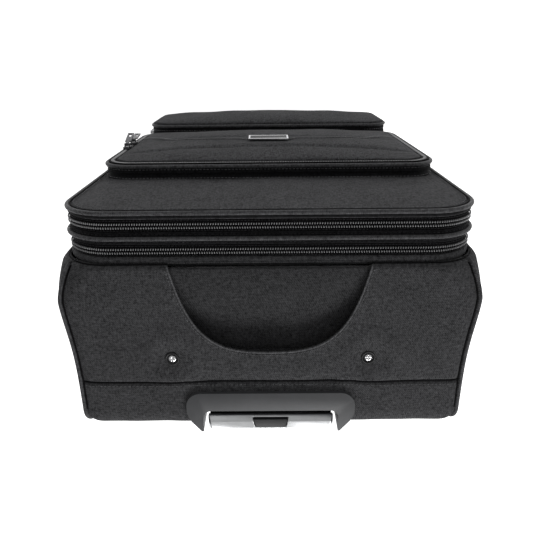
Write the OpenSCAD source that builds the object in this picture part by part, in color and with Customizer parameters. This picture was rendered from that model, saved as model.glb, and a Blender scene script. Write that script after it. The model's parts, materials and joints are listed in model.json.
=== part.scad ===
// Soft-sided two-wheel rolling flight case, standing upright on its wheels and front feet.
// +Z is up, the pockets face -Y, and the origin is the middle of the footprint on the floor.
// Depths are measured forward from the back of the case: layer(t0, t1) fills from t0 to t1.

/* [Case] */
// Width of the fabric body
body_w = 356; // [340:1:370]
// Height of the top of the body above the floor
body_top = 556; // [540:1:570]
// Clearance under the body
ground_gap = 42; // [38:1:46]
// Depth from the back of the case to the front seam of the body
body_depth = 165; // [160:1:175]
// Thickness of a stiffened fabric wall
wall = 3; // [2:0.5:4]
// Corner radius of the body where its back panel wraps round
back_corner_r = 14; // [12:1:18]
// Corner radius of the zipped front of the body and of the lid
front_corner_r = 42; // [38:1:46]

/* [Zips and lid] */
// Width of a closed zip, tape edge to tape edge
zip_w = 11; // [10:0.5:12]
// Depth of the strip between the two zips
ring_depth = 11; // [9:0.5:13]
// Depth of the lid's edge, in front of the main zip
lid_depth = 7; // [6:0.5:10]
// How far the zipped band stands in from the body's top and bottom
band_inset = 6; // [5:0.5:8]
// How far the zipped band stands in from the body's sides
band_side_inset = 1; // [0.5:0.5:4]
// Diameter of the piping
piping_d = 4; // [3:0.5:4]

/* [Front pockets] */
// Half width of the upper pocket
upper_half_w = 168; // [155:1:169]
// Lowest and highest edge of the upper pocket
upper_z = [206, 434]; // [200:1:440]
// Depth of the upper pocket's edge strip
upper_depth = 15.5; // [14:0.5:18]
// Half width of the lower pocket
lower_half_w = 167; // [155:1:168]
// Lowest and highest edge of the lower pocket
lower_z = [58, 188]; // [56:1:195]
// Depth of the lower pocket's edge strip
lower_depth = 24; // [20:0.5:26]
// How far a pocket cover swells at its middle
cover_dome = 12; // [8:1:14]

/* [Telescoping handle] */
// Distance of each tube from the middle of the case
tube_x = 46; // [42:1:48]
// Depth of the tubes' centres
tube_t = 11.5; // [11.5:0.5:12]
// Width and depth of the outer tube
outer_tube = [26, 15]; // [15:0.5:27]
// Wall of the tubes
tube_wall = 0.8; // [0.6:0.1:1]
// Space between two tubes that slide in each other
tube_gap = 1.2; // [1:0.1:1.2]
// Half width of the pull-up grip
grip_half_w = 59; // [56:0.5:60]
// Travel of the release button
button_travel = 3; // [2:0.5:3.5]

/* [Wheels and feet] */
// Diameter of the wheels
wheel_d = 60; // [56:1:60]
// Width of the wheels
wheel_w = 24; // [22:1:25]
// Distance of each wheel from the middle of the case
wheel_x = 154; // [153:1:155]
// Depth of the wheels' axle
wheel_t = 24; // [24:1:26]
// Diameter of the axle
axle_d = 8; // [6:0.5:8]

/* [Hidden] */
$fn = 48;

// Depth of the case from the wheels' backs to the pockets' fronts, centred on the origin
back_y = 120;
half_w = body_w / 2;
eps = 0.01;
air = 0.3;              // space between pieces that move past each other
taper_t = 130;          // depth at which the body's corners start to open out
tub_t = 50;             // depth of the seam between the back tub and the panels in front of it

// Stations of the zipped band
binding_t = body_depth + 5.5;
expander_t = binding_t + zip_w / 2;
ring_t = binding_t + zip_w;
main_t = ring_t + ring_depth + zip_w / 2;
lid_t = ring_t + ring_depth + zip_w;
face_t = lid_t + lid_depth;
band_half_w = half_w - band_side_inset;
band_z = [ground_gap + band_inset, body_top - band_inset];
tape = 1.2;             // thickness of a zip's tape
chain_w = 2.3;          // half the width of a zip's chain
chain_rise = 1.1;       // how far the chain stands out of the tape
hinge_half = 140;       // half the length of the lid's fabric hinge
hinge_axis_z = band_z[0] - 1.5;

// Grab handle in the top panel
grab_t = 78;            // depth of the flat end of the cut-out
grab_r = 46;            // corner radius of the cut-out
grab_screw_x = 88;
grab_screw_t = 75;
scoop_depth = 15;
scoop_t = [62, 158];

// Handle housing, tubes and grip
bezel_half_w = 78;
bezel_t = 40;
bezel_top = body_top + 4;
recess_half_w = 63;
recess_t = 20.8;
floor_z = 528;          // top of the floor inside the housing
floor_h = 4;
tube_foot = 62;
outer_bore = outer_tube - 2 * [tube_wall, tube_wall];
mid_tube = outer_bore - 2 * [tube_gap, tube_gap];
mid_bore = mid_tube - 2 * [tube_wall, tube_wall];
inner_tube = mid_bore - 2 * [tube_gap, tube_gap];
inner_bore = inner_tube - 2 * [tube_wall, tube_wall];
slide_fit = 0.1;        // clearance of a tube in its bushing
bushing_h = 22;
grip_z = [534, 550, 558];   // bottom, joint line and top of the grip
grip_t = [-2, 10];
button_half_w = 16;

// Wheels and housings
wheel_r = wheel_d / 2;
bearing_d = 22;
bearing_w = 7;
bore_fit = 0.05;        // clearance of the hubs on their bearings
housing_x = [132, half_w];
housing_z = [18, 86];
housing_t = [-3, 66];
well_half = wheel_w / 2 + 3;

// Zip sliders
slider_l = 12;
slider_h = 2.4;
crown_x = 4.9;          // height of the bar that carries the pull
pull_l = 26;
main_slider_z = [350, 318];
expander_slider_z = 150;
pocket_slider_z = [346, 314];
pocket_pull_tilt = [20, 8];

// ---- shared shapes ----

// A front-view outline, x across and z up, filled from depth t0 to depth t1
module layer(t0, t1)
    translate([0, back_y - t0, 0]) rotate([90, 0, 0]) linear_extrude(t1 - t0) children();

// A top-view outline, x across and depth forward, filled from z0 to z1
module plan(z0, z1)
    translate([0, back_y, z0]) mirror([0, 1, 0]) linear_extrude(z1 - z0) children();

module outline(hw, z, r) {
    translate([-hw + r, z[0]]) square([2 * (hw - r), z[1] - z[0]]);
    translate([-hw, z[0] + r]) square([2 * hw, z[1] - z[0] - 2 * r]);
    for (sx = [-1, 1], cz = [z[0] + r, z[1] - r]) translate([sx * (hw - r), cz]) circle(r);
}

module ring(hw, z, r, thick)
    difference() {
        outline(hw, z, r);
        outline(hw - thick, z + [thick, -thick], max(r - thick, 1));
    }

// The outline of the zipped band, inset by d; a negative d stands it out
module band(d) outline(band_half_w - d, band_z + [d, -d], front_corner_r - d);
module band_ring(d0, d1) difference() { band(d0); band(d1); }

// A round cord bent along a rounded rectangle at depth t
module loop_cord(hw, z, r, d, t)
    translate([0, back_y - t, 0]) rotate([90, 0, 0]) {
        for (sx = [-1, 1])
            translate([sx * hw, z[0] + r, 0]) rotate([-90, 0, 0]) cylinder(d = d, h = z[1] - z[0] - 2 * r);
        for (cz = z) translate([-hw + r, cz, 0]) rotate([0, 90, 0]) cylinder(d = d, h = 2 * (hw - r));
        for (i = [0 : 3])
            translate([(i == 0 || i == 3 ? 1 : -1) * (hw - r), i < 2 ? z[1] - r : z[0] + r, 0])
                rotate([0, 0, 90 * i]) rotate_extrude(angle = 90) translate([r, 0]) circle(d = d);
    }

// A flat-sided oval, the section of the handle's tubes
module oval(size) {
    square([size[0] - size[1], size[1]], center = true);
    for (sx = [-1, 1]) translate([sx * (size[0] - size[1]) / 2, 0]) circle(d = size[1]);
}

module tube_pair(outer, inner, z0, z1)
    plan(z0, z1) for (sx = [-1, 1]) translate([sx * tube_x, tube_t])
        difference() { oval(outer); oval(inner); }

module both_sides() for (m = [0, 1]) mirror([m, 0, 0]) children();

// A slab swollen towards the front, for pocket covers
module dome(hw, z, r, t, rise) {
    mid_z = (z[0] + z[1]) / 2;
    half_h = (z[1] - z[0]) / 2;
    across_r = (hw * hw + rise * rise) / (2 * rise);
    upright_r = (half_h * half_h + rise * rise) / (2 * rise);
    edge = 2;
    intersection() {
        layer(t, t + edge + rise) outline(hw, z, r);
        translate([0, back_y - t - edge - rise + across_r, 0])
            cylinder(r = across_r, h = body_top, $fn = 720);
        translate([-half_w, back_y - t - edge - rise + upright_r, mid_z]) rotate([0, 90, 0])
            cylinder(r = upright_r, h = body_w, $fn = 720);
    }
}

// ---- body ----

module tub_solid(inset) hull() {
    layer(inset, inset + 0.5) outline(half_w - 14 - inset * 0.3, [ground_gap + 14, body_top - 14], 12);
    layer(4 + inset * 0.4, 5 + inset * 0.4) outline(half_w - 4 - inset, [ground_gap + 4 + inset, body_top - 4 - inset], 12);
    layer(18, tub_t) outline(half_w - inset, [ground_gap + inset, body_top - inset], back_corner_r - inset);
}

module body_solid(inset) {
    layer(tub_t, taper_t)
        outline(half_w - inset, [ground_gap + inset, body_top - inset], back_corner_r - inset);
    hull() {
        layer(taper_t, taper_t + eps)
            outline(half_w - inset, [ground_gap + inset, body_top - inset], back_corner_r - inset);
        layer(body_depth - eps, body_depth)
            outline(half_w - inset, [ground_gap + inset, body_top - inset], front_corner_r - inset);
    }
}

module housing_space()
    both_sides() layer(housing_t[0] - 5, housing_t[1])
        translate([housing_x[0], housing_z[0]]) square([60, housing_z[1] - housing_z[0]]);

// The arms of the bezel narrow to tips at the back
module bezel_outline(t1) {
    r = 14;
    arm_t = 18;
    tip = recess_half_w + 1.8;
    translate([-bezel_half_w, arm_t]) square([2 * bezel_half_w, t1 - r - arm_t]);
    translate([-bezel_half_w + r, arm_t]) square([2 * (bezel_half_w - r), t1 - arm_t]);
    for (sx = [-1, 1]) translate([sx * (bezel_half_w - r), t1 - r]) circle(r);
    polygon([
        [-bezel_half_w, arm_t], [-bezel_half_w + 4, 9], [-tip, grip_t[0]],
        [tip, grip_t[0]], [bezel_half_w - 4, 9], [bezel_half_w, arm_t],
    ]);
}

module grab_cut()
    hull() {
        for (sx = [-1, 1]) translate([sx * 24, grab_t + grab_r]) circle(grab_r);
        translate([-83, scoop_t[1] - 5]) square([166, 5]);
    }

module back_tub() color("#2b2b2d") difference() {
    tub_solid(0);
    difference() {
        tub_solid(wall);
        layer(0, wall) square(2000, center = true);
    }
    layer(tub_t - 1, tub_t + 1) outline(half_w - wall, [ground_gap + wall, body_top - wall], back_corner_r - wall);
    plan(floor_z - floor_h - 9, body_top + 5) bezel_outline(bezel_t);
    housing_space();
}

module body_ring() difference() {
    body_solid(0);
    difference() {
        body_solid(wall);
        layer(body_depth - wall, body_depth + 1) difference() {
            square(2000, center = true);
            band(4);
        }
    }
    layer(body_depth - wall - eps, body_depth + 1) band(4);
    layer(tub_t - 1, tub_t + eps) outline(half_w - wall, [ground_gap + wall, body_top - wall], back_corner_r - wall);
}

module top_space() translate([-(half_w - 10), -half_w, body_top - 10]) cube([2 * (half_w - 10), body_w, 20]);

module top_panel() color("#303032") difference() {
    intersection() { body_ring(); top_space(); }
    plan(body_top - 20, body_top + 1) grab_cut();
    both_sides() translate([grab_screw_x, back_y - grab_screw_t, body_top - 20]) cylinder(d = 4.2, h = 30);
}

module side_panels() color("#2d2d2f") difference() {
    body_ring();
    top_space();
    housing_space();
}

module scoop_outline(grow)
    translate([-92 - grow, scoop_t[0] - grow]) square([184 + 2 * grow, scoop_t[1] - scoop_t[0] + 2 * grow]);

module grab_scoop() color("#1b1b1d") difference() {
    plan(body_top - wall - scoop_depth, body_top - wall) scoop_outline(0);
    plan(body_top - wall - scoop_depth + 1.5, body_top) scoop_outline(-1.5);
}

module grab_bar() color("#39393b")
    difference() {
        plan(body_top - wall - 2.5, body_top - wall) translate([-90, 66]) square([180, grab_t - 62]);
        both_sides() translate([grab_screw_x, back_y - grab_screw_t, body_top - 20]) cylinder(d = 4.2, h = 30);
    }

module grab_screws() color("#b9babc") both_sides()
    translate([grab_screw_x, back_y - grab_screw_t, 0]) {
        translate([0, 0, body_top - wall - 9]) cylinder(d = 4, h = wall + 9 + 1.2);
        translate([0, 0, body_top + 1.2]) cylinder(d1 = 7, d2 = 5, h = 1.6);
    }

module cup_washers() color("#1d1d1f") both_sides()
    translate([grab_screw_x, back_y - grab_screw_t, body_top]) difference() {
        cylinder(d1 = 13, d2 = 11, h = 1.2);
        translate([0, 0, -1]) cylinder(d = 4.2, h = 4);
    }

// Piping on the seams between the side panels and the top, back and bottom
module side_piping() color("#222224") both_sides() {
    r = piping_d / 2;
    bend = 16;
    px = half_w - back_corner_r + (back_corner_r + r) * cos(45);
    top_z = body_top - back_corner_r + (back_corner_r + r) * cos(45);
    low_z = ground_gap + body_top - top_z;
    back_t = 2;
    translate([px, back_y - taper_t, top_z]) rotate([-90, 0, 0]) cylinder(r = r, h = taper_t - back_t - bend);
    translate([px, back_y - back_t, housing_z[1] + 1]) cylinder(r = r, h = top_z - bend - housing_z[1] - 1);
    translate([px, back_y - back_t - bend, top_z - bend]) rotate([90, 0, 90])
        rotate_extrude(angle = 90) translate([bend, 0]) circle(r);
    translate([px, back_y - taper_t, low_z]) rotate([-90, 0, 0]) cylinder(r = r, h = taper_t - housing_t[1] - 1);
}

module front_binding() color("#1f1f21") layer(body_depth, binding_t) band_ring(-1.5, 1.5);

module frame_rod() color("#8d8f92")
    loop_cord(half_w - wall - 2, [ground_gap + wall + 2, body_top - wall - 2], front_corner_r - wall - 2, 3,
        body_depth - wall - 2);

// The lining steps in behind the wheels and behind the handle housing
module lining() color("#4a4a4e") {
    hw = half_w - wall - 0.5;
    front_z = [ground_gap + wall + 3, body_top - wall - scoop_depth - 2];
    rear_z = [housing_z[1] + 2, floor_z - floor_h - 11];
    rear_t = 24;
    step_t = housing_t[1] + 1;
    t = 1;
    layer(rear_t - t, rear_t) outline(hw, rear_z, 10);
    layer(rear_t, step_t) ring(hw, rear_z, 10, t);
    layer(step_t, step_t + t) difference() {
        outline(hw, front_z, 12);
        outline(hw - t, rear_z + [t, -t], 9);
    }
    layer(step_t + t, taper_t) ring(hw, front_z, 12, t);
    layer(taper_t, body_depth - wall - 4) ring(hw, front_z, front_corner_r + 1, t);
}

module tie_straps() color("#202022") both_sides()
    translate([22, back_y - 26, 300 - 12.5]) cube([150, 1.6, 25]);

module strap_buckle() color("#151517") {
    both_sides() plan(284, 316) translate([0.2, 24.2]) square([21.3, 6]);
}

// ---- zips, expander and lid ----

// Half of a zip round the case: a tape with the chain along one edge
module zip_half(t0, t1, chain0, chain1, open_foot) color("#151517") difference() {
    union() {
        layer(t0, t1) band_ring(0.5, 0.5 + tape);
        layer(chain0, chain1) band_ring(-chain_rise, 0.5 + tape + 0.6);
    }
    if (open_foot) translate([-hinge_half, -half_w, 0]) cube([2 * hinge_half, body_w, band_z[0] + 10]);
}

module expander_zip_rear() zip_half(binding_t, expander_t - air / 2, expander_t - chain_w, expander_t - air / 2, false);
module expander_zip_front() zip_half(expander_t + air / 2, ring_t, expander_t + air / 2, expander_t + chain_w, false);
module main_zip_rear() zip_half(lid_t - zip_w, main_t - air / 2, main_t - chain_w, main_t - air / 2, true);
module main_zip_front() zip_half(main_t + air / 2, lid_t, main_t + air / 2, main_t + chain_w, true);

module expansion_gusset() color("#19191b") layer(body_depth + 0.2, ring_t + 8) band_ring(4.2, 5.2);

module expander_ring() color("#29292b") {
    layer(ring_t, ring_t + ring_depth) band_ring(0, 2.5);
    layer(ring_t + 4, ring_t + 6) band_ring(2.5, 4);
}

module ridge_piping() color("#2a2a2c")
    loop_cord(band_half_w + 1.75, band_z + [-1.75, 1.75], front_corner_r + 1.75, 3.5, ring_t + ring_depth / 2);

module hinge_strip(t0, t1) intersection() {
    layer(t0, t1) band_ring(0, tape);
    translate([-hinge_half + 0.5, -half_w, 0]) cube([2 * hinge_half - 1, body_w, band_z[0] + 10]);
}

module hinge_tape() color("#1a1a1c") hinge_strip(lid_t - zip_w, main_t - air / 2);

// The lid is one padded panel as thick as its edge
module lid_panel() color("#2f2f31") {
    layer(lid_t, face_t) band(0);
    hinge_strip(main_t + air / 2, lid_t + eps);
}

module lid_piping() color("#242426")
    loop_cord(band_half_w + piping_d / 2, band_z + [-2, 2], front_corner_r + piping_d / 2, piping_d, face_t - 2);

// ---- front pockets ----

module pocket_wall(hw, z, depth) difference() {
    layer(face_t, face_t + depth) outline(hw, z, 28);
    layer(face_t - 1, face_t + depth + 1) outline(hw - 2.5, z + [2.5, -2.5], 25.5);
}

module pocket_gussets() color("#1c1c1e") {
    pocket_wall(upper_half_w, upper_z, upper_depth);
    pocket_wall(lower_half_w, lower_z, lower_depth);
}

module pocket_piping() color("#2a2a2c") {
    r = piping_d / 2;
    loop_cord(upper_half_w + r, upper_z + [-r, r], 28 + r, piping_d, face_t + upper_depth - r);
    loop_cord(lower_half_w + r, lower_z + [-r, r], 28 + r, piping_d, face_t + lower_depth - r);
}

// The upper pocket zips shut round its face, the lower one round its edge
module pocket_zips() color("#131315") {
    layer(face_t + upper_depth, face_t + upper_depth + 2.2) difference() {
        outline(upper_half_w, upper_z, 28);
        outline(upper_half_w - 9, upper_z + [9, -9], 19);
    }
    layer(face_t + 7, face_t + 14) difference() {
        outline(lower_half_w + 1.2, lower_z + [-1.2, 1.2], 29.2);
        outline(lower_half_w, lower_z, 28);
    }
}

module cover_shell(hw, z, r, t, rise) difference() {
    dome(hw, z, r, t, rise);
    dome(hw - 3, z + [3, -3], r - 2, t - 2.4, rise);
}

module upper_cover() color("#2f2f31")
    cover_shell(cover_hw, cover_z, 19, face_t + upper_depth + 0.1, cover_dome);

module lower_cover() color("#2f2f31")
    cover_shell(lower_half_w, lower_z, 28, face_t + lower_depth + 0.1, cover_dome - 2);

// Plain name-plate blank, tangent to the upper pocket's swelling
badge_size = [45, 18];
badge_z = 350;
badge_rim = 2;
cover_hw = upper_half_w - 9 - air;
cover_z = upper_z + [9 + air, -9 - air];
cover_mid_z = (cover_z[0] + cover_z[1]) / 2;
cover_r = (pow((cover_z[1] - cover_z[0]) / 2, 2) + pow(cover_dome, 2)) / (2 * cover_dome);
badge_tilt = asin((badge_z - cover_mid_z) / cover_r);
badge_t = face_t + upper_depth + 2.12 + cover_dome - cover_r * (1 - cos(badge_tilt));

module badge_place()
    translate([0, back_y - badge_t, badge_z]) rotate([90 - badge_tilt, 0, 0]) children();

module badge_frame() color("#c9cacc") badge_place() linear_extrude(2) difference() {
    square(badge_size, center = true);
    square(badge_size - 2 * [badge_rim, badge_rim], center = true);
}

module badge_plate() color("#0e0e10") badge_place() linear_extrude(1.4)
    square(badge_size - 2 * [badge_rim, badge_rim], center = true);

// ---- zip sliders ----

// Local frame: the chain runs along z, and +x points out of the zip
module slider_body(w) {
    difference() {
        translate([0, -w / 2, -slider_l / 2]) cube([slider_h, w, slider_l]);
        translate([-eps, -0.6, -slider_l]) cube([0.8, 1.2, 2 * slider_l]);
    }
    for (sy = [-1, 1]) translate([slider_h, sy * 2.4 - 0.5, -1.6]) cube([crown_x + 1 - slider_h, 1, 3.2]);
    translate([crown_x, -2.9, 0]) rotate([-90, 0, 0]) cylinder(r = 0.7, h = 5.8);
}

module pull_tab(tilt) translate([crown_x, 0, 0]) rotate([0, tilt * -1, 0]) {
    difference() {
        union() {
            rotate([-90, 0, 0]) translate([0, 0, -1.5]) cylinder(r = 2.1, h = 3);
            translate([-0.75, -1.5, -6]) cube([1.5, 3, 5]);
            translate([-0.75, -3.5, -pull_l]) cube([1.5, 7, pull_l - 6]);
        }
        rotate([-90, 0, 0]) translate([0, 0, -3]) cylinder(r = 1, h = 6);
        translate([-2, -1.5, -pull_l + 3]) cube([4, 3, 6]);
    }
}

module on_band(side, t, z)
    mirror([side < 0 ? 1 : 0, 0, 0]) translate([band_half_w + chain_rise + air, back_y - t, z]) children();

// Turned so that the slider stands on the front face of the upper pocket's zip
module on_pocket(z)
    translate([upper_half_w - 5.2, back_y - face_t - upper_depth - 2.2 - air, z]) rotate([0, 0, -90]) children();

module main_slider_upper() color("#3a3a3c") on_band(1, main_t, main_slider_z[0]) slider_body(8);
module main_slider_lower() color("#3a3a3c") on_band(1, main_t, main_slider_z[1]) slider_body(8);
module main_pull_upper() color("#2a2a2c") on_band(1, main_t, main_slider_z[0]) pull_tab(0);
module main_pull_lower() color("#2a2a2c") on_band(1, main_t, main_slider_z[1]) pull_tab(0);
module expander_slider() color("#3a3a3c") on_band(-1, expander_t, expander_slider_z) { slider_body(8); pull_tab(0); }

module pocket_slider_upper() color("#3a3a3c") on_pocket(pocket_slider_z[0]) slider_body(7);
module pocket_slider_lower() color("#3a3a3c") on_pocket(pocket_slider_z[1]) slider_body(7);
module pocket_pull_upper() color("#2a2a2c") on_pocket(pocket_slider_z[0]) pull_tab(pocket_pull_tilt[0]);
module pocket_pull_lower() color("#2a2a2c") on_pocket(pocket_slider_z[1]) pull_tab(pocket_pull_tilt[1]);
module lower_pocket_slider() color("#9a9b9d")
    translate([lower_half_w + 1.2 + air, back_y - face_t - 10.5, lower_z[1] - 34]) { slider_body(7); pull_tab(0); }

// ---- telescoping handle ----

module handle_bezel() color("#47484b") difference() {
    plan(floor_z - floor_h - 9, bezel_top) bezel_outline(bezel_t);
    // recess for the grip, open to the back
    plan(floor_z, bezel_top + 1) {
        translate([-recess_half_w, -10]) square([2 * recess_half_w, recess_t + 10 - 8]);
        translate([-recess_half_w + 8, -10]) square([2 * recess_half_w - 16, recess_t + 10]);
        for (sx = [-1, 1]) translate([sx * (recess_half_w - 8), recess_t - 8]) circle(8);
    }
    // hollow under the floor, round the tubes
    plan(floor_z - floor_h - 10, floor_z - floor_h) {
        translate([-recess_half_w, 1.5]) square([2 * recess_half_w, bezel_t - 6]);
        translate([-bezel_half_w + 3, 19]) square([2 * bezel_half_w - 6, bezel_t - 34]);
    }
    plan(floor_z - floor_h - 1, floor_z + 1)
        for (sx = [-1, 1]) translate([sx * tube_x, tube_t]) oval(mid_tube + [0.6, 0.6]);
}

module outer_tubes() color("#a8aaad") tube_pair(outer_tube, outer_bore, tube_foot, floor_z - floor_h);
module outer_bushings() color("#121214")
    tube_pair(outer_bore, mid_tube + 2 * [slide_fit, slide_fit], floor_z - floor_h - bushing_h, floor_z - floor_h);
module mid_tubes() color("#b4b6b9") tube_pair(mid_tube, mid_bore, tube_foot + 28, floor_z - 6);
module mid_bushings() color("#121214")
    tube_pair(mid_bore, inner_tube + 2 * [slide_fit, slide_fit], floor_z - 6 - bushing_h, floor_z - 6);
module inner_tubes() color("#c0c2c5") tube_pair(inner_tube, inner_bore, tube_foot + 58, grip_z[0] + 1);

module tube_bracket() color("#1a1a1c") difference() {
    intersection() {
        plan(ground_gap + wall, tube_foot) translate([-66, 3.2]) square([132, 18]);
        tub_solid(wall);
    }
    plan(ground_gap + wall + 3, tube_foot + 1) translate([-28, 3]) square([56, 14]);
}

module grip_shell() color("#1d1d1f") difference() {
    union() {
        plan(grip_z[0], grip_z[1]) translate([-grip_half_w + 1, grip_t[0] + 0.5])
            square([2 * grip_half_w - 2, grip_t[1] - grip_t[0] - 1]);
        plan(grip_z[0] - 3, grip_z[0] + 9) for (sx = [-1, 1]) translate([sx * (tube_x - 0.5) - 12.5, 1])
            square([25, 16.5]);
    }
    // space for the yoke and the button
    plan(grip_z[0] + 1.4, grip_z[1] - 3) translate([-tube_x - 5, 2]) square([2 * tube_x + 10, 6]);
    plan(grip_z[0] + 3, grip_z[1] + 1) translate([-button_half_w - 0.6, 1.5]) square([2 * button_half_w + 1.2, 7]);
    plan(grip_z[1] - 3.8, grip_z[1] + 1) button_outline(0.6);
    plan(grip_z[0] + 1.8, grip_z[0] + 9) for (sx = [-1, 1]) translate([sx * tube_x - 4.6, 5]) square([9.2, 10.5]);
    // sockets for the inner tubes, and the way down for the release rods
    plan(grip_z[0] - 4, grip_z[0] + 1) for (sx = [-1, 1]) translate([sx * tube_x, tube_t]) oval(inner_tube);
    plan(grip_z[0], grip_z[0] + 4) for (sx = [-1, 1]) translate([sx * tube_x, tube_t]) circle(d = 4.6);
}

// The button is wider at the front than at the back
module button_outline(gap) {
    front = [button_half_w + gap, 9.6 + gap];
    rear = [button_half_w - 2 + gap, 1.9 - gap];
    polygon([[-front[0], front[1]], front, rear, [-rear[0], rear[1]]]);
}

// The top of the grip slopes down to the front and at both ends
module grip_cap() color("#d9dadc") difference() {
    hull() {
        plan(grip_z[1], grip_z[2] - 4.6) translate([-grip_half_w, grip_t[0]])
            square([2 * grip_half_w, grip_t[1] + 2 - grip_t[0]]);
        plan(grip_z[2] - 0.02, grip_z[2]) translate([-grip_half_w + 2.5, grip_t[0] + 1])
            square([2 * grip_half_w - 5, grip_t[1] - 3 - grip_t[0]]);
    }
    plan(grip_z[1] - 1, grip_z[2] + 1) button_outline(0.6);
}

// The yoke under the button reaches out to the rods in both tubes
yoke_z = grip_z[0] + 2.2 + button_travel;
yoke_h = 2.3;

module release_button() color("#101012") {
    plan(grip_z[1] - 4, grip_z[2] - 2) translate([-button_half_w + 2, 1.9]) square([2 * button_half_w - 4, 6.2]);
    plan(grip_z[1] + 0.4, grip_z[2] - 0.2) button_outline(0);
    plan(yoke_z + 1, grip_z[1] - 4) translate([-8, 3]) square([16, 4]);
    plan(yoke_z, yoke_z + yoke_h) {
        translate([-tube_x - 4, 2.6]) square([2 * tube_x + 8, 4.8]);
        for (sx = [-1, 1]) translate([sx * tube_x - 4, 2.6]) square([8, 11.4]);
    }
}

module release_rods() color("#9c9ea1")
    plan(tube_foot + 90, yoke_z) for (sx = [-1, 1]) translate([sx * tube_x, tube_t]) circle(d = 3.5);

// ---- wheels and feet ----

module at_axle() both_sides() translate([wheel_x, back_y - wheel_t, wheel_r]) rotate([0, 90, 0]) children();

module wheel_housings() color("#161618") difference() {
    union() {
        both_sides() layer(housing_t[0], housing_t[1])
            translate([housing_x[0], 46]) square([housing_x[1] - housing_x[0], housing_z[1] - 46]);
        both_sides() layer(housing_t[0] + 3, housing_t[1] - 12)
            translate([housing_x[0], housing_z[0]]) square([housing_x[1] - housing_x[0], 30]);
    }
    at_axle() translate([0, 0, -well_half]) cylinder(r = wheel_r + 4, h = 2 * well_half);
    both_sides() translate([wheel_x - well_half, back_y - wheel_t - wheel_r - 4, 0])
        cube([2 * well_half, 2 * wheel_r + 30, wheel_r]);
    both_sides() translate([wheel_x - well_half, back_y - wheel_t, 0])
        cube([2 * well_half, wheel_r + 30, wheel_r + 18]);
    at_axle() translate([0, 0, -40]) cylinder(d = axle_d, h = 80);
    housing_screw_holes();
}

module housing_screw_holes() both_sides()
    translate([housing_x[0] - 1, back_y - 56, 70]) rotate([0, 90, 0]) cylinder(d = 4.2, h = 10);

module wheel_axles() color("#b0b2b5") at_axle()
    translate([0, 0, housing_x[0] - wheel_x]) cylinder(d = axle_d, h = housing_x[1] - housing_x[0]);

module wheel_bearings() color("#9fa1a4") at_axle()
    for (s = [-1, 1]) translate([0, 0, s * (wheel_w / 2 - bearing_w / 2 - 0.5) - bearing_w / 2]) difference() {
        cylinder(d = bearing_d, h = bearing_w);
        translate([0, 0, -1]) cylinder(d = axle_d, h = bearing_w + 2);
    }

// Half section of a wheel, x out from the axle and y along it
module hub() rotate_extrude() difference() {
    translate([bearing_d / 2 + bore_fit, -wheel_w / 2 + 1]) square([9.5 - bore_fit, wheel_w - 2]);
    translate([16, wheel_w / 2 - 4]) square([3, 5]);
    translate([16, -wheel_w / 2 - 1]) square([3, 5]);
}

module tyre() rotate_extrude() {
    edge = 4.5;
    inner = bearing_d / 2 + 9.5;
    translate([inner, -wheel_w / 2]) square([wheel_r - edge - inner, wheel_w]);
    translate([inner, -wheel_w / 2 + edge]) square([wheel_r - inner, wheel_w - 2 * edge]);
    for (s = [-1, 1]) translate([wheel_r - edge, s * (wheel_w / 2 - edge)]) circle(edge);
}

module one_side(m) mirror([m, 0, 0]) translate([wheel_x, back_y - wheel_t, wheel_r]) rotate([0, 90, 0]) children();
module hub_right() color("#3c3d40") one_side(0) hub();
module hub_left() color("#3c3d40") one_side(1) hub();
module tyre_right() color("#1a1a1a") one_side(0) tyre();
module tyre_left() color("#1a1a1a") one_side(1) tyre();

module base_screws() color("#a7a9ac") {
    both_sides() translate([housing_x[0] - 2, back_y - 56, 70]) rotate([0, 90, 0]) {
        cylinder(d = 4, h = 9);
        translate([0, 0, -2]) cylinder(d = 8, h = 3);
    }
    both_sides() translate([110, back_y - 135, ground_gap + wall]) cylinder(d = 8, h = 2.2);
}

module front_feet() color("#17171a") both_sides() {
    translate([110, back_y - 135, 0]) {
        cylinder(d1 = 26, d2 = 30, h = 6);
        translate([0, 0, 6]) cylinder(d1 = 30, d2 = 36, h = ground_gap - 6 - 3);
        translate([0, 0, ground_gap - 3]) cylinder(d = 44, h = 3);
    }
}

back_tub();
top_panel();
side_panels();
grab_scoop();
grab_bar();
grab_screws();
cup_washers();
side_piping();
front_binding();
frame_rod();
lining();
tie_straps();
strap_buckle();
handle_bezel();
outer_tubes();
outer_bushings();
tube_bracket();
mid_tubes();
mid_bushings();
inner_tubes();
grip_shell();
grip_cap();
release_button();
release_rods();
wheel_housings();
wheel_axles();
wheel_bearings();
tyre_left();
tyre_right();
hub_left();
hub_right();
base_screws();
front_feet();
expander_zip_rear();
expansion_gusset();
expander_zip_front();
expander_ring();
ridge_piping();
main_zip_rear();
hinge_tape();
expander_slider();
main_slider_upper();
main_pull_upper();
main_slider_lower();
main_pull_lower();
main_zip_front();
lid_panel();
lid_piping();
pocket_gussets();
pocket_piping();
pocket_zips();
upper_cover();
badge_frame();
badge_plate();
lower_cover();
pocket_slider_upper();
pocket_pull_upper();
pocket_slider_lower();
pocket_pull_lower();
lower_pocket_slider();
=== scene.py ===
"""Soft-sided rolling flight case: fabric, zips, piping, handle, wheels and studio, round the frame."""

import json
import math

import bmesh
import bpy
import numpy as np
from bpy.props import FloatProperty, FloatVectorProperty, PointerProperty
from mathutils import Matrix, Vector, noise


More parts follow.
